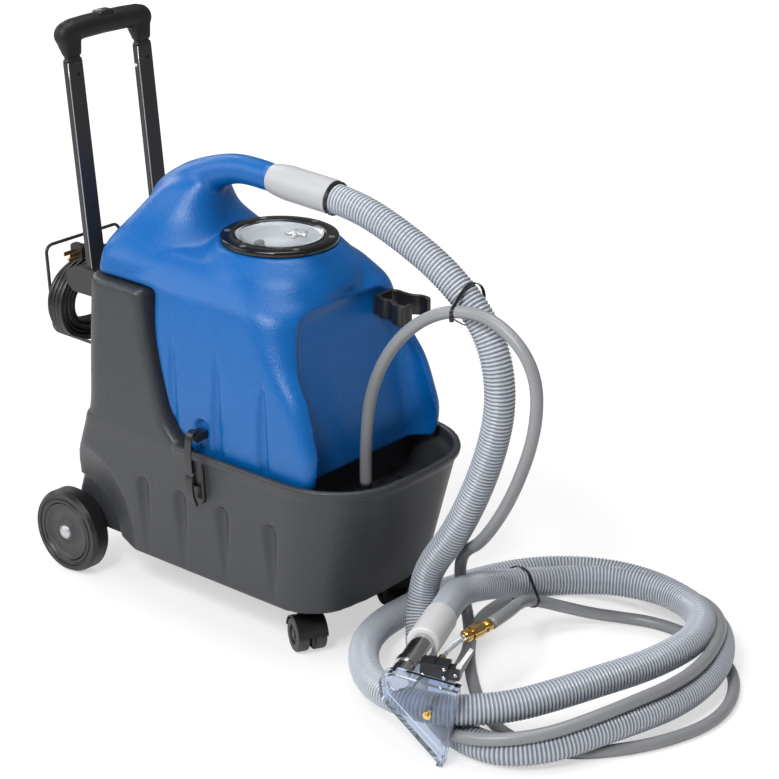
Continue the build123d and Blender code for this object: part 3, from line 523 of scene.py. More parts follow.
def brushed_group():
    """Brushed or machined metal: fine streaks one way in the bump, smears in the gloss."""
    surface_group(
        "Worked Metal",
        {"Colour": (0.7, 0.7, 0.7, 1), "Gloss": 0.25, "Streaks": 0.15},
        (("place", "TexCoord", {}),
         ("stretch", "Mapping", {"Scale": (60.0, 60.0, 900.0)}),
         ("streak", "TexNoise", {"Scale": 1.0, "Detail": 4.0}),
         ("smear", "TexNoise", {"Scale": 45.0}),
         ("gloss", "Math", {"operation": "MULTIPLY_ADD"}),
         ("shade", "MapRange", {"To Min": 0.88, "To Max": 1.06}),
         ("tint", "VectorMath", {"operation": "SCALE"}),
         ("bump", "Bump", {"Distance": 0.0001})),
        ("place.Object > stretch.Vector", "stretch.Vector > streak.Vector",
         "place.Object > smear.Vector", "smear.Fac > gloss.0", "in.Streaks > gloss.1",
         "in.Gloss > gloss.2", "gloss.0 > out.Roughness",
         "smear.Fac > shade.Value", "in.Colour > tint.0", "shade.Result > tint.Scale",
         "tint.Vector > out.Colour", "streak.Fac > bump.Height", "in.Streaks > bump.Strength",
         "bump.Normal > out.Normal"))


def new_material(name, **plain):
    """Material with a Principled shader; plain values go on the shader's own sockets."""
    material = bpy.data.materials.new(name)
    material.use_nodes = True
    shader = material.node_tree.nodes["Principled BSDF"]
    for key, value in plain.items():
        shader.inputs[key.replace("_", " ")].default_value = value
    return material, shader


def fed(material, shader, group_name, **values):
    """Places a shared group and feeds its colour, roughness and normal to the shader."""
    tree = material.node_tree
    node = tree.nodes.new("ShaderNodeGroup")
    node.node_tree = bpy.data.node_groups[group_name]
    for key, value in values.items():
        value = tuple(value) + (1.0,) if key == "Colour" else value
        node.inputs[key.replace("_", " ")].default_value = value
    tree.links.new(node.outputs["Colour"], shader.inputs["Base Color"])
    tree.links.new(node.outputs["Roughness"], shader.inputs["Roughness"])
    tree.links.new(node.outputs["Normal"], shader.inputs["Normal"])
    return node


def moulded(name, colour, gloss, grain=900.0, depth=0.15, cloud=0.08, speckle=0.0, **plain):
    material, shader = new_material(name, **plain)
    fed(material, shader, "Moulded Surface", Colour=colour, Gloss=gloss, Grain_Size=grain,
        Grain_Depth=depth, Cloud=cloud, Speckle=speckle)
    return material


def worked(name, colour, gloss, streaks=0.15):
    material, shader = new_material(name, Metallic=1.0)
    fed(material, shader, "Worked Metal", Colour=colour, Gloss=gloss, Streaks=streaks)
    return material


def ribbed_hose(name, colour):
    """Hose vinyl with painted shade: an attribute darkens the hose between the ribs."""
    material, shader = new_material(name, Coat_Weight=0.25, Coat_Roughness=0.2)
    surface = fed(material, shader, "Moulded Surface", Colour=colour, Gloss=0.36, Grain_Size=500.0,
                  Grain_Depth=0.05, Cloud=0.16)
    build(material.node_tree, {"surface": surface, "shader": shader},
          (("valley", "Attribute", {"attribute_name": "valley"}),
           # painted shade: between the ribs the hose colour is multiplied by this darker grey
           ("mix", "Mix", {"data_type": "RGBA", "blend_type": "MULTIPLY",
                           "B": (0.26, 0.275, 0.31, 1)})),
          ("valley.Fac > mix.Factor", "surface.Colour > mix.A", "mix.Result > shader.Base Color"))
    return material


def clear(name, tint, rough=0.03):
    """Clear moulded plastic with faint smears in its gloss."""
    material, shader = new_material(name, Metallic=0.0, Transmission_Weight=1.0, IOR=1.49)
    fed(material, shader, "Moulded Surface", Colour=tint, Gloss=rough, Grain_Size=60.0,
        Grain_Depth=0.02, Cloud=0.03, Gloss_Change=0.04)
    return material


def make_finishes():
    """Every finish by its name."""
    moulded_group()
    brushed_group()
    tones = colours()
    return {
        "shell": moulded("Rotomoulded blue", tones.shell, 0.36, grain=380.0, depth=1.0, cloud=0.14,
                         speckle=0.7, Specular_IOR_Level=0.42),
        "base": moulded("Rotomoulded charcoal", tones.base, 0.4, grain=380.0, depth=1.0, cloud=0.16,
                        speckle=0.8, Specular_IOR_Level=0.45),
        "white": moulded("Natural white moulding", (0.72, 0.73, 0.74), 0.45),
        "black": moulded("Black moulding", (0.012, 0.012, 0.013), 0.3, depth=0.08),
        "gloss black": moulded("Gloss black ring", (0.006, 0.006, 0.007), 0.14, depth=0.02),
        "grey": moulded("Grey moulding", (0.1, 0.104, 0.112), 0.45, depth=0.1),
        "dark grey": moulded("Dark grey moulding", (0.035, 0.036, 0.038), 0.45, depth=0.12),
        "rubber": moulded("Black rubber", (0.011, 0.011, 0.012), 0.34, depth=0.12),
        "grip": moulded("Soft black grip", (0.009, 0.0094, 0.0102), 0.5, grain=700.0, depth=0.3,
                        Specular_IOR_Level=0.3),
        "coated": moulded("Black powder coat", (0.02, 0.02, 0.022), 0.32, grain=1500.0, depth=0.12),
        "screw": moulded("Black screws", (0.008, 0.008, 0.008), 0.25, depth=0.02, Metallic=0.6),
        "cuff": moulded("Light grey cuff", (0.4, 0.405, 0.42), 0.4, depth=0.06),
        "tool cuff": moulded("Soft grey cuff", (0.6, 0.6, 0.61), 0.38, depth=0.06),
        "hose": ribbed_hose("Ribbed hose vinyl", tones.hose),
        "line": moulded("Reinforced hose", tones.line, 0.36, grain=300.0, depth=0.1, cloud=0.14),
        "lead": moulded("Lead jacket", (0.01, 0.01, 0.011), 0.36, depth=0.06),
        "trigger": moulded("White lever", (0.75, 0.76, 0.77), 0.35, depth=0.05),
        "liner": moulded("Pale inner wall", (0.74, 0.75, 0.77), 0.3, depth=0.03),
        "tie": moulded("Black cable tie", (0.006, 0.006, 0.006), 0.28, depth=0.02),
        "zinc": worked("Zinc plate", (0.55, 0.56, 0.58), 0.28, 0.25),
        "steel": worked("Bright steel", (0.66, 0.65, 0.64), 0.12, 0.12),
        "brass": worked("Machined brass", (0.78, 0.53, 0.2), 0.14, 0.12),
        "window": clear("Clear window", (0.93, 0.96, 0.98)),
        "head": clear("Clear tool head", (0.8, 0.86, 0.97)),
        "feed": clear("Clear feed hose", (0.85, 0.88, 0.95), 0.12),
    }


FINISHES = {}
CAD_FINISH = {
    "white": ("float_cage", "standpipe"),
    "black": ("tank_fittings", "rail_blocks", "rail_collars", "tool_clip", "switch_plate",
              "rocker_vac", "rocker_pump", "lead_relief", "latch_lever_near", "latch_lever_far",
              "latch_strap_near", "latch_strap_far", "latch_keepers", "valve_block",
              "caster_hood_near", "caster_hood_far", "grip"),
    "gloss black": ("lid_ring",),
    "grey": ("release_button",),
    "dark grey": ("rim_near", "rim_far", "caster_wheels_near", "caster_wheels_far"),
    "rubber": ("tyre_near", "tyre_far", "lid_seal"),
    "window": ("lid_window",),
    "head": ("tool_head",),
    "feed": ("feed_hose",),
    "coated": ("rails", "inner_tubes", "cord_bail"),
    "zinc": ("axle", "axle_beam", "hub_nuts", "latch_brackets", "vac_motor", "pump", "float_ball"),
    "steel": ("tool_tube", "tool_clamp"),
    "brass": ("brass_fittings", "coupler_sleeve", "plug_blades"),
    "cuff": ("hose_cuff",),
    "tool cuff": ("tool_cuff",),
    "lead": ("plug_body",),
    "trigger": ("trigger",),
    "screw": ("lid_screws",),
    "base": ("base_tub", "solution_tank"),
    "shell": ("recovery_tank",),
}


def dress_frame():
    """Gives each carried-over CAD node its finish."""
    for finish, names in CAD_FINISH.items():
        for name in names:
            mesh = NODES[name].data
            mesh.materials.clear()
            mesh.materials.append(FINISHES[finish])


# ---- moulded shells


def moulded_piece(name, solids, cuts, voxel, rounds, finish, node, flow=0, body="machine"):
    """One moulding: the joined solids flow into each other, the joined cuts are taken away, and the
    whole is evened out to small faces and softened."""
    piece = put(name, join(solids), finish, body)
    if flow:
        even_out(piece, voxel, flow)
    if cuts:
        tool = put(name + "_cut", join(cuts), None, body=None)
        modify(piece, "BOOLEAN", "cut", operation="DIFFERENCE", solver="EXACT", use_self=True,
               object=tool)
    even_out(piece, voxel, rounds)
    if cuts:
        bpy.data.objects.remove(tool)
    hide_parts(node)


def recovery_shell():
    """Blue tank: low body, shoulder over the column, a root that narrows up into the arched duct,
    and the lid's neck. The front recess, the well, the channels and the latch pockets are cut."""
    rows = smooth_rows(TANK_DUCT, 40)
    path = np.stack([rows[:, 0], np.zeros(len(rows)), rows[:, 1]], axis=1) + AXLE
    neck = turned(mm([(120, 498), (116, 511), (108, 524), (99, 534), (91, 541), (87, 547.5)]), LID)
    solids = [stacked(smooth_rows(TANK_LOW, 44)), stacked(smooth_rows(TANK_TOP, 16)),
              stacked(smooth_rows(TANK_ROOT, 30)), pipe(path, rows[:, 2], 40), neck]
    well = turned(mm([(100, 410), (100, 480), (64.5, 520), (64.5, 570)]), LID)
    cuts = [stacked(smooth_rows(TANK_HOLLOW, 20)), well]
    for x, point in TANK_CHANNELS:
        cuts += hollows(x, ((0.25, -0.15, 0.0135, 0.0145), (0.3, -0.1515, 0.0122, 0.0145),
                            (0.36, -0.151, 0.0098, 0.0122), (point - 0.03, -0.1495, 0.0066, 0.0105),
                            (point, -0.1475, 0.002, 0.006)))
    cuts += hollows(LATCH_X, mm((
        (250, -151, 16.5, 14), (302, -151, 16.5, 14), (312.5, -151, 13.5, 13.5),
        (317.5, -151, 8, 12), (318.5, -151, 4, 11))))
    moulded_piece("recovery_shell", solids, cuts, TANK_VOXEL, 4, "shell",
                  "recovery_tank", TANK_FLOW)


def base_shell():
    """Charcoal base: bowed hull, rolled rim, rear column, dished fenders and tapering flutes."""
    solids = [stacked(smooth_rows(HULL, 40), 12, HULL_BOW), stacked(RIM, 12, HULL_BOW),
              stacked(smooth_rows(COLUMN, 40), 12)]
    fender = discs(mm([
        (-175, 82.5, 20, 184, 184), (-164, 82, 19, 173, 173), (-140, 73, 9, 128, 128),
        (-118.5, 64.5, 1, 85.5, 85.5), (-112, 63.5, 0, 84, 84)]), 1, 64)
    cuts = [stacked(smooth_rows(HULL_ROOM, 24), 12, HULL_BOW), fender, mirrored(fender)]
    for x in FLUTES:
        cuts += hollows(x, FLUTE_ROWS)
    moulded_piece("base_shell", solids, cuts, HULL_VOXEL, 5, "base", "base_tub")


# ---- lid


def lid_set():
    """Flush clamp ring with its screws, clear window, pale wall below it and the float's top."""
    ring = hoop(mm([
        (82.2, 547.5), (82.8, 549), (82.8, 553.8), (82, 555.2), (80.5, 556), (65.5, 556),
        (64.3, 555.5), (63.5, 554.3), (63.5, 547.5)]), LID, 96)
    put("lid_clamp", ring, "gloss black", nodes=["lid_ring"])
    angle = np.radians(30 + 60 * np.arange(6))
    spots = np.stack([LID[0] + 0.0735 * np.cos(angle), 0.0735 * np.sin(angle)], axis=1)
    heads = [turned(mm([(2, 554.5), (4.6, 554.5), (4.6, 556.1), (4.1, 556.6),
                        (3.6, 556.4), (1.2, 556.3)]), spot, 20) for spot in spots]
    put("lid_screw_heads", join(heads), "grey", nodes=["lid_screws"])
    glass = turned(mm([
        (50, 551.2), (63, 551.2), (63.3, 551.5), (63.3, 554.5), (62.7, 555.5), (58.8, 555.6),
        (58.2, 555.2), (57.8, 554.5), (50, 554.4)]), LID, 96)
    put("lid_glass", glass, "window", "window", ["lid_window"])
    liner = hoop(mm([
        (63.4, 550.5), (62, 551), (58.5, 545), (56.5, 531), (48, 526.5), (12, 526.2), (0.2, 526.2),
        (0.2, 522.5), (50, 523.5), (60, 529)]), LID, 96)
    put("lid_liner", liner, "liner", "lid", ["lid_seal"])
    star = turned(mm([(12, 542), (12.5, 545), (9.5, 548), (3, 549.5)]), (0.3, 0.036), 60)
    hub = np.array((0.3, 0.036, 0)) + AXLE
    spoke = (star[0] - hub) * (1, 1, 0)
    bearing = np.arctan2(spoke[:, 1], spoke[:, 0])
    lobed = star[0] + spoke * (0.42 * np.cos(5 * bearing))[:, None]
    put("float_top", (lobed, star[1]), "steel", "lid")
    pull = discs(mm([
        (526.2, 286, -28, 6, 10.5), (545.5, 286, -28, 5.5, 10), (547, 286, -28, 4, 8)]), 2)
    put("float_pull", pull, "grey", "lid")


# ---- wheels and hand tool


def wheel_discs():
    """Smooth dished wheel centres with a raised boss."""
    disc = lathe(mm([
        (-122, 20), (-122, 43.7), (-149.3, 43.7), (-150.3, 42.5), (-150, 40.8), (-146.2, 38.8),
        (-144.8, 34), (-145.2, 24), (-146.5, 19), (-148.8, 15.8), (-150, 14.5), (-150.2, 12),
        (-150.2, 6.5)]), 1, (0.0635, 0), 64)
    for part, where in ((disc, "near"), (mirrored(disc), "far")):
        put("wheel_disc_" + where, part, "dark grey", "wheel_" + where,
            ["rim_" + where])


def tool_frame(part):
    """A body drawn in the hand tool's own frame (along the head, out, up) in the row frame."""
    flat = part[0] - AXLE
    along_head = np.array((np.cos(TOOL_TURN), np.sin(TOOL_TURN), 0))
    outward = np.array((np.sin(TOOL_TURN), -np.cos(TOOL_TURN), 0))
    base = np.array(TOOL_AT) + AXLE
    verts = base + flat[:, :1] * along_head - flat[:, 1:2] * outward + flat[:, 2:] * (0, 0, 1)
    return verts, part[1]


def tool_set():
    """Bright tube that runs into the cuff, and the trigger valve with its screws."""
    tube = lathe(mm([
        (17.2, 15), (17.6, 15.8), (19, 16), (30, 16), (60, 16), (90, 16), (120, 16), (127, 16),
        (127.6, 15.8), (128, 15)]), 1, (0, 0), 48)
    put("bright_tube", tool_frame(tube), "steel", nodes=["tool_tube"])
    valve = join([block(0.006, 0.0285, 0.026, 0.064, 0.0105, 0.003, 0.003),
                  block(0.009, 0.0235, 0.06, 0.0785, 0.0085, 0.003, 0.003),
                  stacked(mm([(27.5, 33, 47, 8, 3, 3),
                              (31, 34, 46, 7, 3, 3)]))])
    put("valve_body", tool_frame(moved(valve, (0, VALVE_OUT, 0))), "black",
        nodes=["valve_block"], smooth=False)
    screws = []
    for x, z, half in ((0.031, 0.0115, 0.0108), (0.059, 0.0115, 0.0108), (0.059, 0.0235, 0.0108),
                       (0.0735, 0.0165, 0.0088)):
        at = VALVE_OUT - half
        screws.append(lathe([(at - 0.0016, 0.0012), (at - 0.001, 0.0027), (at + 0.001, 0.0027)],
                            1, (z, x), 16))
    put("valve_screws", tool_frame(join(screws)), "steel")


# ---- handle, clip and latches


def leaning(x, y, z):
    """Place in the row frame of a point in a rail's own leaning frame."""
    cos, sin = np.cos(RAIL_LEAN), np.sin(RAIL_LEAN)
    place = (RAIL_FOOT[0] + x * cos - z * sin, y, RAIL_FOOT[1] + x * sin + z * cos)
    return np.stack(np.broadcast_arrays(*place), axis=-1) + AXLE


def leaned(part, shift=(0, 0, 0)):
    """A body drawn in a rail's own frame, moved in that frame and then leaned with the rail."""
    return leaning(*(part[0] - AXLE + shift).T), part[1]


def handle_set():
    """Rounded grip with necks that flow into the tubes, its button, the rails' inserts and edge
    lines.
    """
    rows = mm([
        (90.5, 792.5, 3.5), (89.5, 793, 8), (86.5, 794, 12.5), (80, 796.2, 15.5), (66, 798.5, 16.8),
        (35, 800, 16.8), (0, 800.5, 16.5)])
    rows = np.concatenate([rows * (-1, 1, 1), rows[-2::-1]])
    bar = discs([(y, z, -0.036, r, r * 0.84) for y, z, r in rows], 1)
    neck = stacked(mm([
        (763.5, -36.8, -22.8, 14.2, 4, 4), (770, -40, -22.5, 15.2, 6, 6),
        (778, -45.5, -22.5, 17.2, 9, 9), (786, -48.5, -22.5, 18.2, 11, 11),
        (800, -49, -23, 18.5, 12, 12)]))
    necks = [moved(neck, (0, y, 0)) for y in (RAIL_Y, -RAIL_Y)]
    seat = block(0.806, 0.83, -0.0465, -0.0265, 0.0145, 0.002, 0.002)
    moulded_piece("hand_grip", [bar] + necks, [seat], 0.0015, 3, "grip", "grip",
                  22, "handle")
    button = stacked(mm([
        (804, -45.5, -27.5, 13.5, 3, 3), (816.5, -45.5, -27.5, 13.5, 3, 3),
        (817.8, -44.5, -28.5, 12.5, 3, 3)]))
    put("grip_button", button, "black", "button", ["release_button"])
    lines, inserts, pins = [], [], []
    insert = block(0.0, 0.004, -0.0052, 0.0052, 0.0142, 0.002, 0.002)
    for y in (-RAIL_Y, RAIL_Y):
        # a thin bright metal line along one edge of each rail
        edge = leaning(0.0052, y - 0.01395, np.linspace(-0.018, 0.3178, 12))
        lines.append(pipe(edge, 0.00085, 8))
        inserts.append(leaned(insert, (0, y, 0.3179)))
        pins.append(leaned(lathe(mm([(5.2, 2.8), (6.5, 2.8), (6.9, 1.8)]), 0,
                                 (y + 0.003, 0.3), 16)))
    put("rail_edges", join(lines), "zinc")
    put("rail_inserts", join(inserts), "black", nodes=["rail_collars"])
    put("rail_pins", join(pins), "screw")
    dot = lathe(mm([(52.5, 2.6), (53.7, 2.2)]), 1, (0.29, -0.001), 16)
    put("rail_dot", leaned(dot), "white")


def clip_piece():
    """Spring clip: a base with two folded jaws."""
    near = smooth_rows(mm([
        (418.5, 70), (426, 64), (436, 58.5), (447, 61), (456, 58), (466, 51.5), (477, 53.5),
        (481.5, 60.5), (477, 66.5)]), 60)
    far = smooth_rows(mm([
        (418.5, 90), (428, 98.5), (442, 97.5), (456, 98.5), (468, 104.5), (480, 103),
        (486.5, 96.5)]), 50)
    back = np.linspace((0.4205, 0.062), (0.4205, 0.098), 8)
    thick = np.interp(np.arange(60), (0, 20, 40, 59), (0.003, 0.003, 0.0048, 0.0032))
    parts = [ribbon(near, thick, 0.4485, 0.4775, 2), ribbon(far, 0.0029, 0.4485, 0.4775, 2),
             ribbon(back, 0.004, 0.448, 0.478, 2)]
    moulded_piece("hose_clip", parts, [], 0.0011, 6, "black", "tool_clip")


def latch_set(where, near):
    """Curved strap and lever of one latch, both in black moulding."""
    strap = smooth_rows(mm([
        (-155.5, 306.2), (-163, 306.8), (-168.5, 301.5), (-171, 288), (-171.5, 268), (-169.5, 250),
        (-166, 233.5)]), 40)
    lever = smooth_rows(mm([(-165.5, 247.5), (-169.5, 240), (-170.5, 226), (-168, 211),
                            (-163.5, 199.5), (-165, 197)]), 30)
    for kind, path, half, wide in (("strap", strap, 0.0012, 0.0062),
                                   ("lever", lever, 0.0021, 0.0072)):
        part = ribbon(path, half, LATCH_X - wide, LATCH_X + wide, 0)
        node = "latch_" + kind + "_" + where
        moulded_piece(node + "_shape", [part if near else mirrored(part)], [], 0.0008, 2, "black",
                      node, body=kind + "_" + where)


def latch_plates():
    """Black plates under the latches, round at the foot, open where the lever swings."""
    plate = stacked(mm([
        (195.5, 275.5, 287.5, 153.5, 3, 3), (198.5, 271.5, 291.5, 154, 3, 3),
        (206, 269.5, 293.5, 155.5, 3, 3), (254, 269.5, 293.5, 158, 3, 3),
        (258, 270.5, 292.5, 157.5, 3, 3)]))
    inside = stacked(mm([(190, 260, 300, 145.5, 2, 2), (270, 260, 300, 151, 2, 2)]))
    swing = block(0.222, 0.27, 0.2727, 0.2903, 0.17, 0.001, 0.001)
    moulded_piece("latch_plate_set", [plate], [inside, swing], 0.0013, 3, "black",
                  "latch_brackets")


# ---- cords


def vacuum_hose():
    """Ribbed hose: with dip = (1 - cos(turns of the pitch)) / 2, the radius is the outside radius
    less the rib depth times dip to the power 1.5."""
    s = sizes()
    path = routed(VAC_ROUTE, s.rib_pitch / 6)
    run = run_along(path)
    dip = 0.5 - 0.5 * np.cos(2 * np.pi * run / s.rib_pitch)
    radius = s.vac_radius - s.rib_depth * dip**1.5
    hose = put("vacuum_hose", pipe(path, radius), "hose",
               nodes=["vac_hose", "hose_coil"])
    # the dip is also stored on the points for the painted shade between the ribs
    valley = hose.data.attributes.new("valley", "FLOAT", "POINT")
    valley.data.foreach_set("value", np.repeat(dip, PIPE_SIDES).astype(np.float32))


def solution_hose():
    """Smooth reinforced hose."""
    s = sizes()
    path = routed(SOLUTION_ROUTE, 0.006)
    hose = put("solution_line", pipe(path, s.solution_radius, 24), "line",
               nodes=["sol_hose", "sol_coil"])


def lead_hank_points():
    """Control points of the hank: ovals in the plane across the machine, four side by side and
    four deep, each turn stepping over to the next place as it passes the foot. The tanh term
    flattens the long sides and keeps the ends round."""
    turns = sizes().lead_turns
    per = 16
    start, end = 0.3, 2 * np.pi * turns + np.pi - 0.42
    angle = np.linspace(start, end, int((end - start) / (2 * np.pi) * per))
    turn = angle / (2 * np.pi)
    index = np.minimum(turn.astype(int), turns - 1)
    blend = np.clip((turn - index - 0.75) * 4, 0, 1)
    place = index + blend
    layer = np.floor(place / HANK_ROW + 1e-6)
    across = place - HANK_ROW * layer
    across = np.where(layer % 2 > 0, HANK_ROW - 1 - across, across)
    wide = HANK_WIDE + HANK_RISE * layer
    tall = HANK_TALL + HANK_RISE * layer
    x = HANK_AT[0] - HANK_STEP * np.clip(across, 0, HANK_ROW - 1)
    squared = (wide - tall) * np.tanh(HANK_FLAT * np.sin(angle)) / np.tanh(HANK_FLAT)
    y = squared + tall * np.sin(angle)
    return np.stack([x, y, HANK_AT[1] - tall * np.cos(angle)], axis=1)


def mains_lead():
    """Mains lead: out of the rear column, a hank on the bail, and its plug."""
    s = sizes()
    path = routed(np.concatenate([LEAD_START, lead_hank_points(), LEAD_END]), 0.004)
    lead = put("mains_lead", pipe(path, s.lead_radius, 14), "lead",
               nodes=["power_lead", "lead_hank"])


def tie_band(name, lines, spot, with_head=True):
    """Cable tie around the hoses that pass a spot. In the plane across their mean heading the band
    follows p = c + r * u, where for each direction u the hose with the largest c.u + r is taken."""
    spot = np.array(spot) + AXLE
    headings = []
    for path, _ in lines:
        k = int(np.argmin(np.linalg.norm(path[4:-4] - spot, axis=1))) + 4
        headings.append(unit(path[k + 3] - path[k - 3]))
    ahead = unit(0.4 * headings[0] + headings[-1] * np.sign(headings[0] @ headings[-1]))
    found = []
    for (path, radius), heading in zip(lines, headings):
        close = path[np.linalg.norm(path - spot, axis=1) < 0.07]
        middle = close[np.argmin(np.abs((close - spot) @ ahead))]
        found.append((middle, radius / abs(heading @ ahead)))
    side = unit(np.cross(ahead, (0.0, 0.0, 1.0)))
    up = np.cross(side, ahead)
    count = 96
    angle = np.linspace(0, 2 * np.pi, count, endpoint=False)[:, None]
    u = side * np.cos(angle) + up * np.sin(angle)
    pick = np.stack([(c - spot) @ u.T + r for c, r in found]).argmax(axis=0)
    centre = np.array([c - ahead * ((c - spot) @ ahead) for c, _ in found])[pick]
    edge = centre + np.array([r for _, r in found])[pick][:, None] * u
    wide = ahead * sizes().tie_width / 2
    rings = [edge - wide, edge + wide, edge + wide + TIE_THICK * u, edge - wide + TIE_THICK * u]
    faces = np.array(wrapped(5, count, False)) % (4 * count)
    parts = [(np.concatenate(rings), faces[:, ::-1].tolist())]
    if with_head:
        head = discs(mm([(-3.5, 0, 0, 4, 3.5), (3.5, 0, 0, 4, 3.5)]), 2, 4)
        parts.append(moved(head, edge[84] + 0.002 * u[84] - AXLE))
    put(name, join(parts), "tie", smooth=False)


def cable_ties():
    """Ties on the hoses: at their crossing, on the tail by the hand tool, round the end of the
    cuff, and on the lowest turn."""
    wide, slim = sizes().vac_radius, sizes().solution_radius
    vac, sol = routed(VAC_ROUTE, 0.004), routed(SOLUTION_ROUTE, 0.004)
    first = vac[:len(vac) // 5]
    tie_band("tie_crossing", [(first, wide), (sol[:len(sol) // 5], slim)], (0.633, -0.015, 0.533))
    tie_band("tie_tail", [(vac[-len(vac) // 5:], wide), (sol[-len(sol) // 6:], slim)],
             (0.632, 0.13, 0.068))
    tie_band("cuff_ring", [(first, wide + 0.0016)], (0.4015, 0, 0.6282), False)
    tie_band("tie_low", [(vac[len(vac) // 4:len(vac) // 2], wide)], (0.664, -0.116, 0.0215))


# ---- stage

# the lamps: name, place, size, power
LAMPS = (
    ("key", (0.55, -2.5, 2.5), 1.5, 64.0), ("spark", (1.25, -2.5, 2.9), 0.5, 40.0),
    ("left", (-1.7, -1.7, 1.5), 1.6, 22.0), ("top", (0.3, 0.3, 3.0), 1.6, 44.0),
    ("back", (-2.6, 0.8, 1.8), 1.6, 26.0),
)
LAMP_AIM = (0.15, 0.0, 0.25)
# the camera: place, focal length, and turn, drop and roll in degrees
CAMERA_AT = (2.1548, -2.2773, 1.5678)
CAMERA_LENS = 108.64
CAMERA_TURN = (39.60, 21.95, 0.476)
SURROUND_STRENGTH = 0.17
FLOOR_GLOW = 1.12
FLOOR_HALF = 6.0
# a value of 1 for rays that carry the surround into the picture, straight or through clear plastic
SEEN_NODES = (("rays", "LightPath", {}), ("seen", "Math", {"operation": "MAXIMUM"}))
SEEN_LINKS = ("rays.Is Camera Ray > seen.0", "rays.Is Transmission Ray > seen.1")


def camera_and_light():
    """Camera at the viewing angle, soft lamps, and a small one for crisp highlights."""
    scene = bpy.context.scene
    data = bpy.data.cameras.new("camera")
    data.sensor_width = 36.0
    data.lens = CAMERA_LENS
    data.clip_end = 50.0
    camera = linked("camera", data)
    turn, rise, roll = np.radians(CAMERA_TURN)
    ahead = np.array([-np.sin(turn) * np.cos(rise), np.cos(turn) * np.cos(rise), -np.sin(rise)])
    right = np.array([np.cos(turn), np.sin(turn), 0.0])
    up = np.cross(right, ahead)
    matrix = np.eye(4)
    matrix[:3, 0] = np.cos(roll) * right + np.sin(roll) * up
    matrix[:3, 1] = np.cos(roll) * up - np.sin(roll) * right
    matrix[:3, 2] = -ahead
    matrix[:3, 3] = CAMERA_AT
    camera.matrix_world = Matrix(matrix.tolist())
    scene.camera = camera
    for name, place, size, power in LAMPS:
        light = bpy.data.lights.new(name, "AREA")
        light.size = size
        light.energy = power
        lamp = linked(name, light)
        lamp.location = place
        aim = Vector(LAMP_AIM) - Vector(place)
        lamp.rotation_euler = aim.to_track_quat("-Z", "Y").to_euler()


def surround():
    """Even light all round, plain white where it is seen."""
    world = bpy.data.worlds.new("surround")
    world.use_nodes = True
    bpy.context.scene.world = world
    tree = world.node_tree
    soft = tree.nodes["Background"]
    soft.inputs["Color"].default_value = (1, 1, 1, 1)
    soft.inputs["Strength"].default_value = SURROUND_STRENGTH
    build(tree, {"soft": soft, "end": tree.nodes["World Output"]},
          SEEN_NODES + (("white", "Background", {"Color": (1, 1, 1, 1)}), ("mix", "MixShader", {})),
          SEEN_LINKS + ("seen.0 > mix.Fac", "soft.0 > mix.1", "white.0 > mix.2",
                        "mix.0 > end.Surface"))


def pale_floor():
    """Pale floor that keeps the shadow near the machine and runs out to plain white."""
    material, shader = new_material("Pale floor", Roughness=0.7)
    tree = material.node_tree
    fed(material, shader, "Moulded Surface", Colour=colours().floor, Gloss=0.75, Grain_Size=8.0,
        Grain_Depth=0.0, Cloud=0.01)
    build(tree, {"shader": shader, "end": tree.nodes["Material Output"]},
          SEEN_NODES + (
              ("place", "TexCoord", {}),
              ("away", "VectorMath", {"operation": "DISTANCE", "1": (0.22, 0.02, 0.0)}),
              ("lift", "MapRange", {"interpolation_type": "SMOOTHSTEP", "From Min": 0.45,
                                    "From Max": 1.0, "To Min": 0.5}),
              ("share", "Math", {"operation": "MULTIPLY"}),
              ("glow", "Emission", {"Strength": FLOOR_GLOW}),
              ("mix", "MixShader", {})),
          SEEN_LINKS + (
              "place.Object > away.0", "away.Value > lift.Value", "lift.Result > share.0",
              "seen.0 > share.1", "share.0 > mix.Fac", "shader.0 > mix.1", "glow.0 > mix.2",
              "mix.0 > end.Surface"))
    level = CAD_BOX[0][2] - 0.0004
    corners = [(-1, -1), (1, -1), (1, 1), (-1, 1)]
    verts = np.array([(FLOOR_HALF * x, FLOOR_HALF * y, level) for x, y in corners])
    floor = put("floor", (verts, [[0, 1, 2, 3]]), None, body=None, smooth=False)
    floor.data.materials.append(material)


# ---- operators


class CLEANER_OT_stage(bpy.types.Operator):
    """Camera, lamps, floor and surround"""

    bl_idname = "cleaner.stage"
    bl_label = "Stage"

    def execute(self, context):
        bpy.context.scene.view_settings.view_transform = "Standard"
        camera_and_light()
        surround()
        pale_floor()
        return {"FINISHED"}


class CLEANER_OT_finishes(bpy.types.Operator):
    """Materials, and the finish of each carried-over part of the frame"""

    bl_idname = "cleaner.finishes"
    bl_label = "Finishes"

    def execute(self, context):
        FINISHES.update(make_finishes())
        dress_frame()
        return {"FINISHED"}


class CLEANER_OT_cords(bpy.types.Operator):
    """Vacuum hose, solution hose and mains lead"""

    bl_idname = "cleaner.cords"
    bl_label = "Hoses and lead"

    def execute(self, context):
        vacuum_hose()
        solution_hose()
        mains_lead()
        cable_ties()
        return {"FINISHED"}


class CLEANER_OT_shells(bpy.types.Operator):
    """Recovery tank and base mouldings"""

    bl_idname = "cleaner.shells"
    bl_label = "Moulded shells"

    def execute(self, context):
        recovery_shell()
        base_shell()
        return {"FINISHED"}


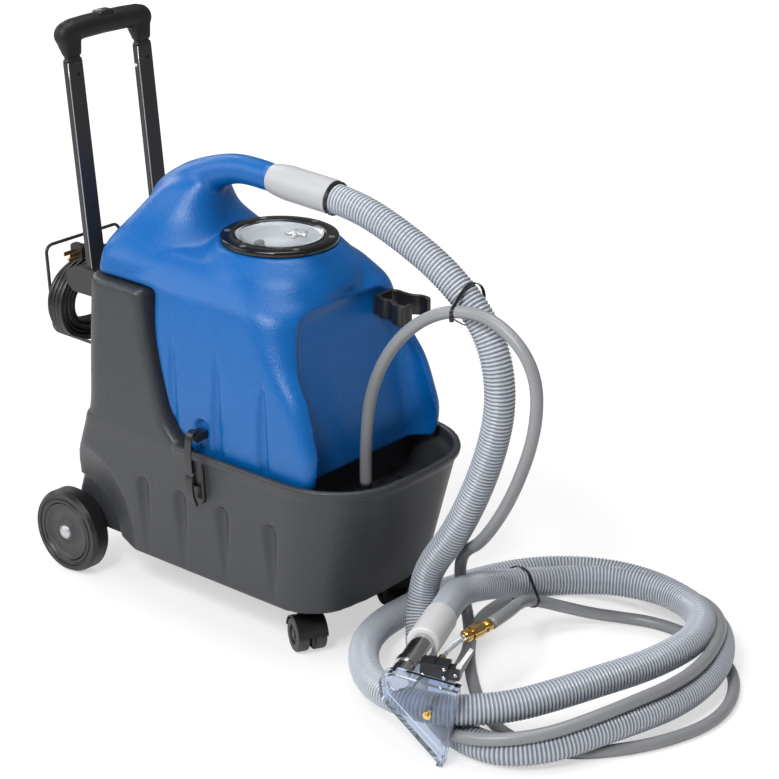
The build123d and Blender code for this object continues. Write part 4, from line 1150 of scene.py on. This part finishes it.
class CLEANER_OT_lid(bpy.types.Operator):
    """Lid ring, window, liner and screws"""

    bl_idname = "cleaner.lid"
    bl_label = "Lid"

    def execute(self, context):
        lid_set()
        return {"FINISHED"}


class CLEANER_OT_handle(bpy.types.Operator):
    """Grip, button, rail inserts and bright edges"""

    bl_idname = "cleaner.handle"
    bl_label = "Handle"

    def execute(self, context):
        handle_set()
        return {"FINISHED"}


class CLEANER_OT_tool(bpy.types.Operator):
    """Wheel centres, tool tube and trigger valve"""

    bl_idname = "cleaner.tool"
    bl_label = "Wheels and hand tool"

    def execute(self, context):
        wheel_discs()
        tool_set()
        return {"FINISHED"}


class CLEANER_OT_fasteners(bpy.types.Operator):
    """Hose clip and side latches"""

    bl_idname = "cleaner.fasteners"
    bl_label = "Clip and latches"

    def execute(self, context):
        clip_piece()
        latch_plates()
        latch_set("near", True)
        latch_set("far", False)
        return {"FINISHED"}


class CLEANER_PT_panel(bpy.types.Panel):
    """Sizes, colours and steps"""

    bl_idname = "CLEANER_PT_panel"
    bl_label = "Carpet Cleaner"
    bl_space_type = "VIEW_3D"
    bl_region_type = "UI"
    bl_category = "Carpet Cleaner"

    def draw(self, context):
        column = self.layout.column()
        for group in (context.scene.cleaner_sizes, context.scene.cleaner_colours):
            for name in group.__annotations__:
                column.prop(group, name)
        for step in STEPS:
            column.operator(step.bl_idname)


STEPS = (CLEANER_OT_finishes, CLEANER_OT_stage, CLEANER_OT_cords, CLEANER_OT_shells, CLEANER_OT_lid,
         CLEANER_OT_handle, CLEANER_OT_tool, CLEANER_OT_fasteners)
CLASSES = (CleanerSizes, CleanerColours) + STEPS + (CLEANER_PT_panel,)


def register():
    for cls in CLASSES:
        bpy.utils.register_class(cls)
    bpy.types.Scene.cleaner_sizes = PointerProperty(type=CleanerSizes)
    bpy.types.Scene.cleaner_colours = PointerProperty(type=CleanerColours)


def unregister():
    del bpy.types.Scene.cleaner_colours
    del bpy.types.Scene.cleaner_sizes
    for cls in reversed(CLASSES):
        bpy.utils.unregister_class(cls)


def main():
    register()
    for step in STEPS:
        getattr(bpy.ops.cleaner, step.bl_idname.split(".")[1])()


if __name__ == "__main__":
    main()
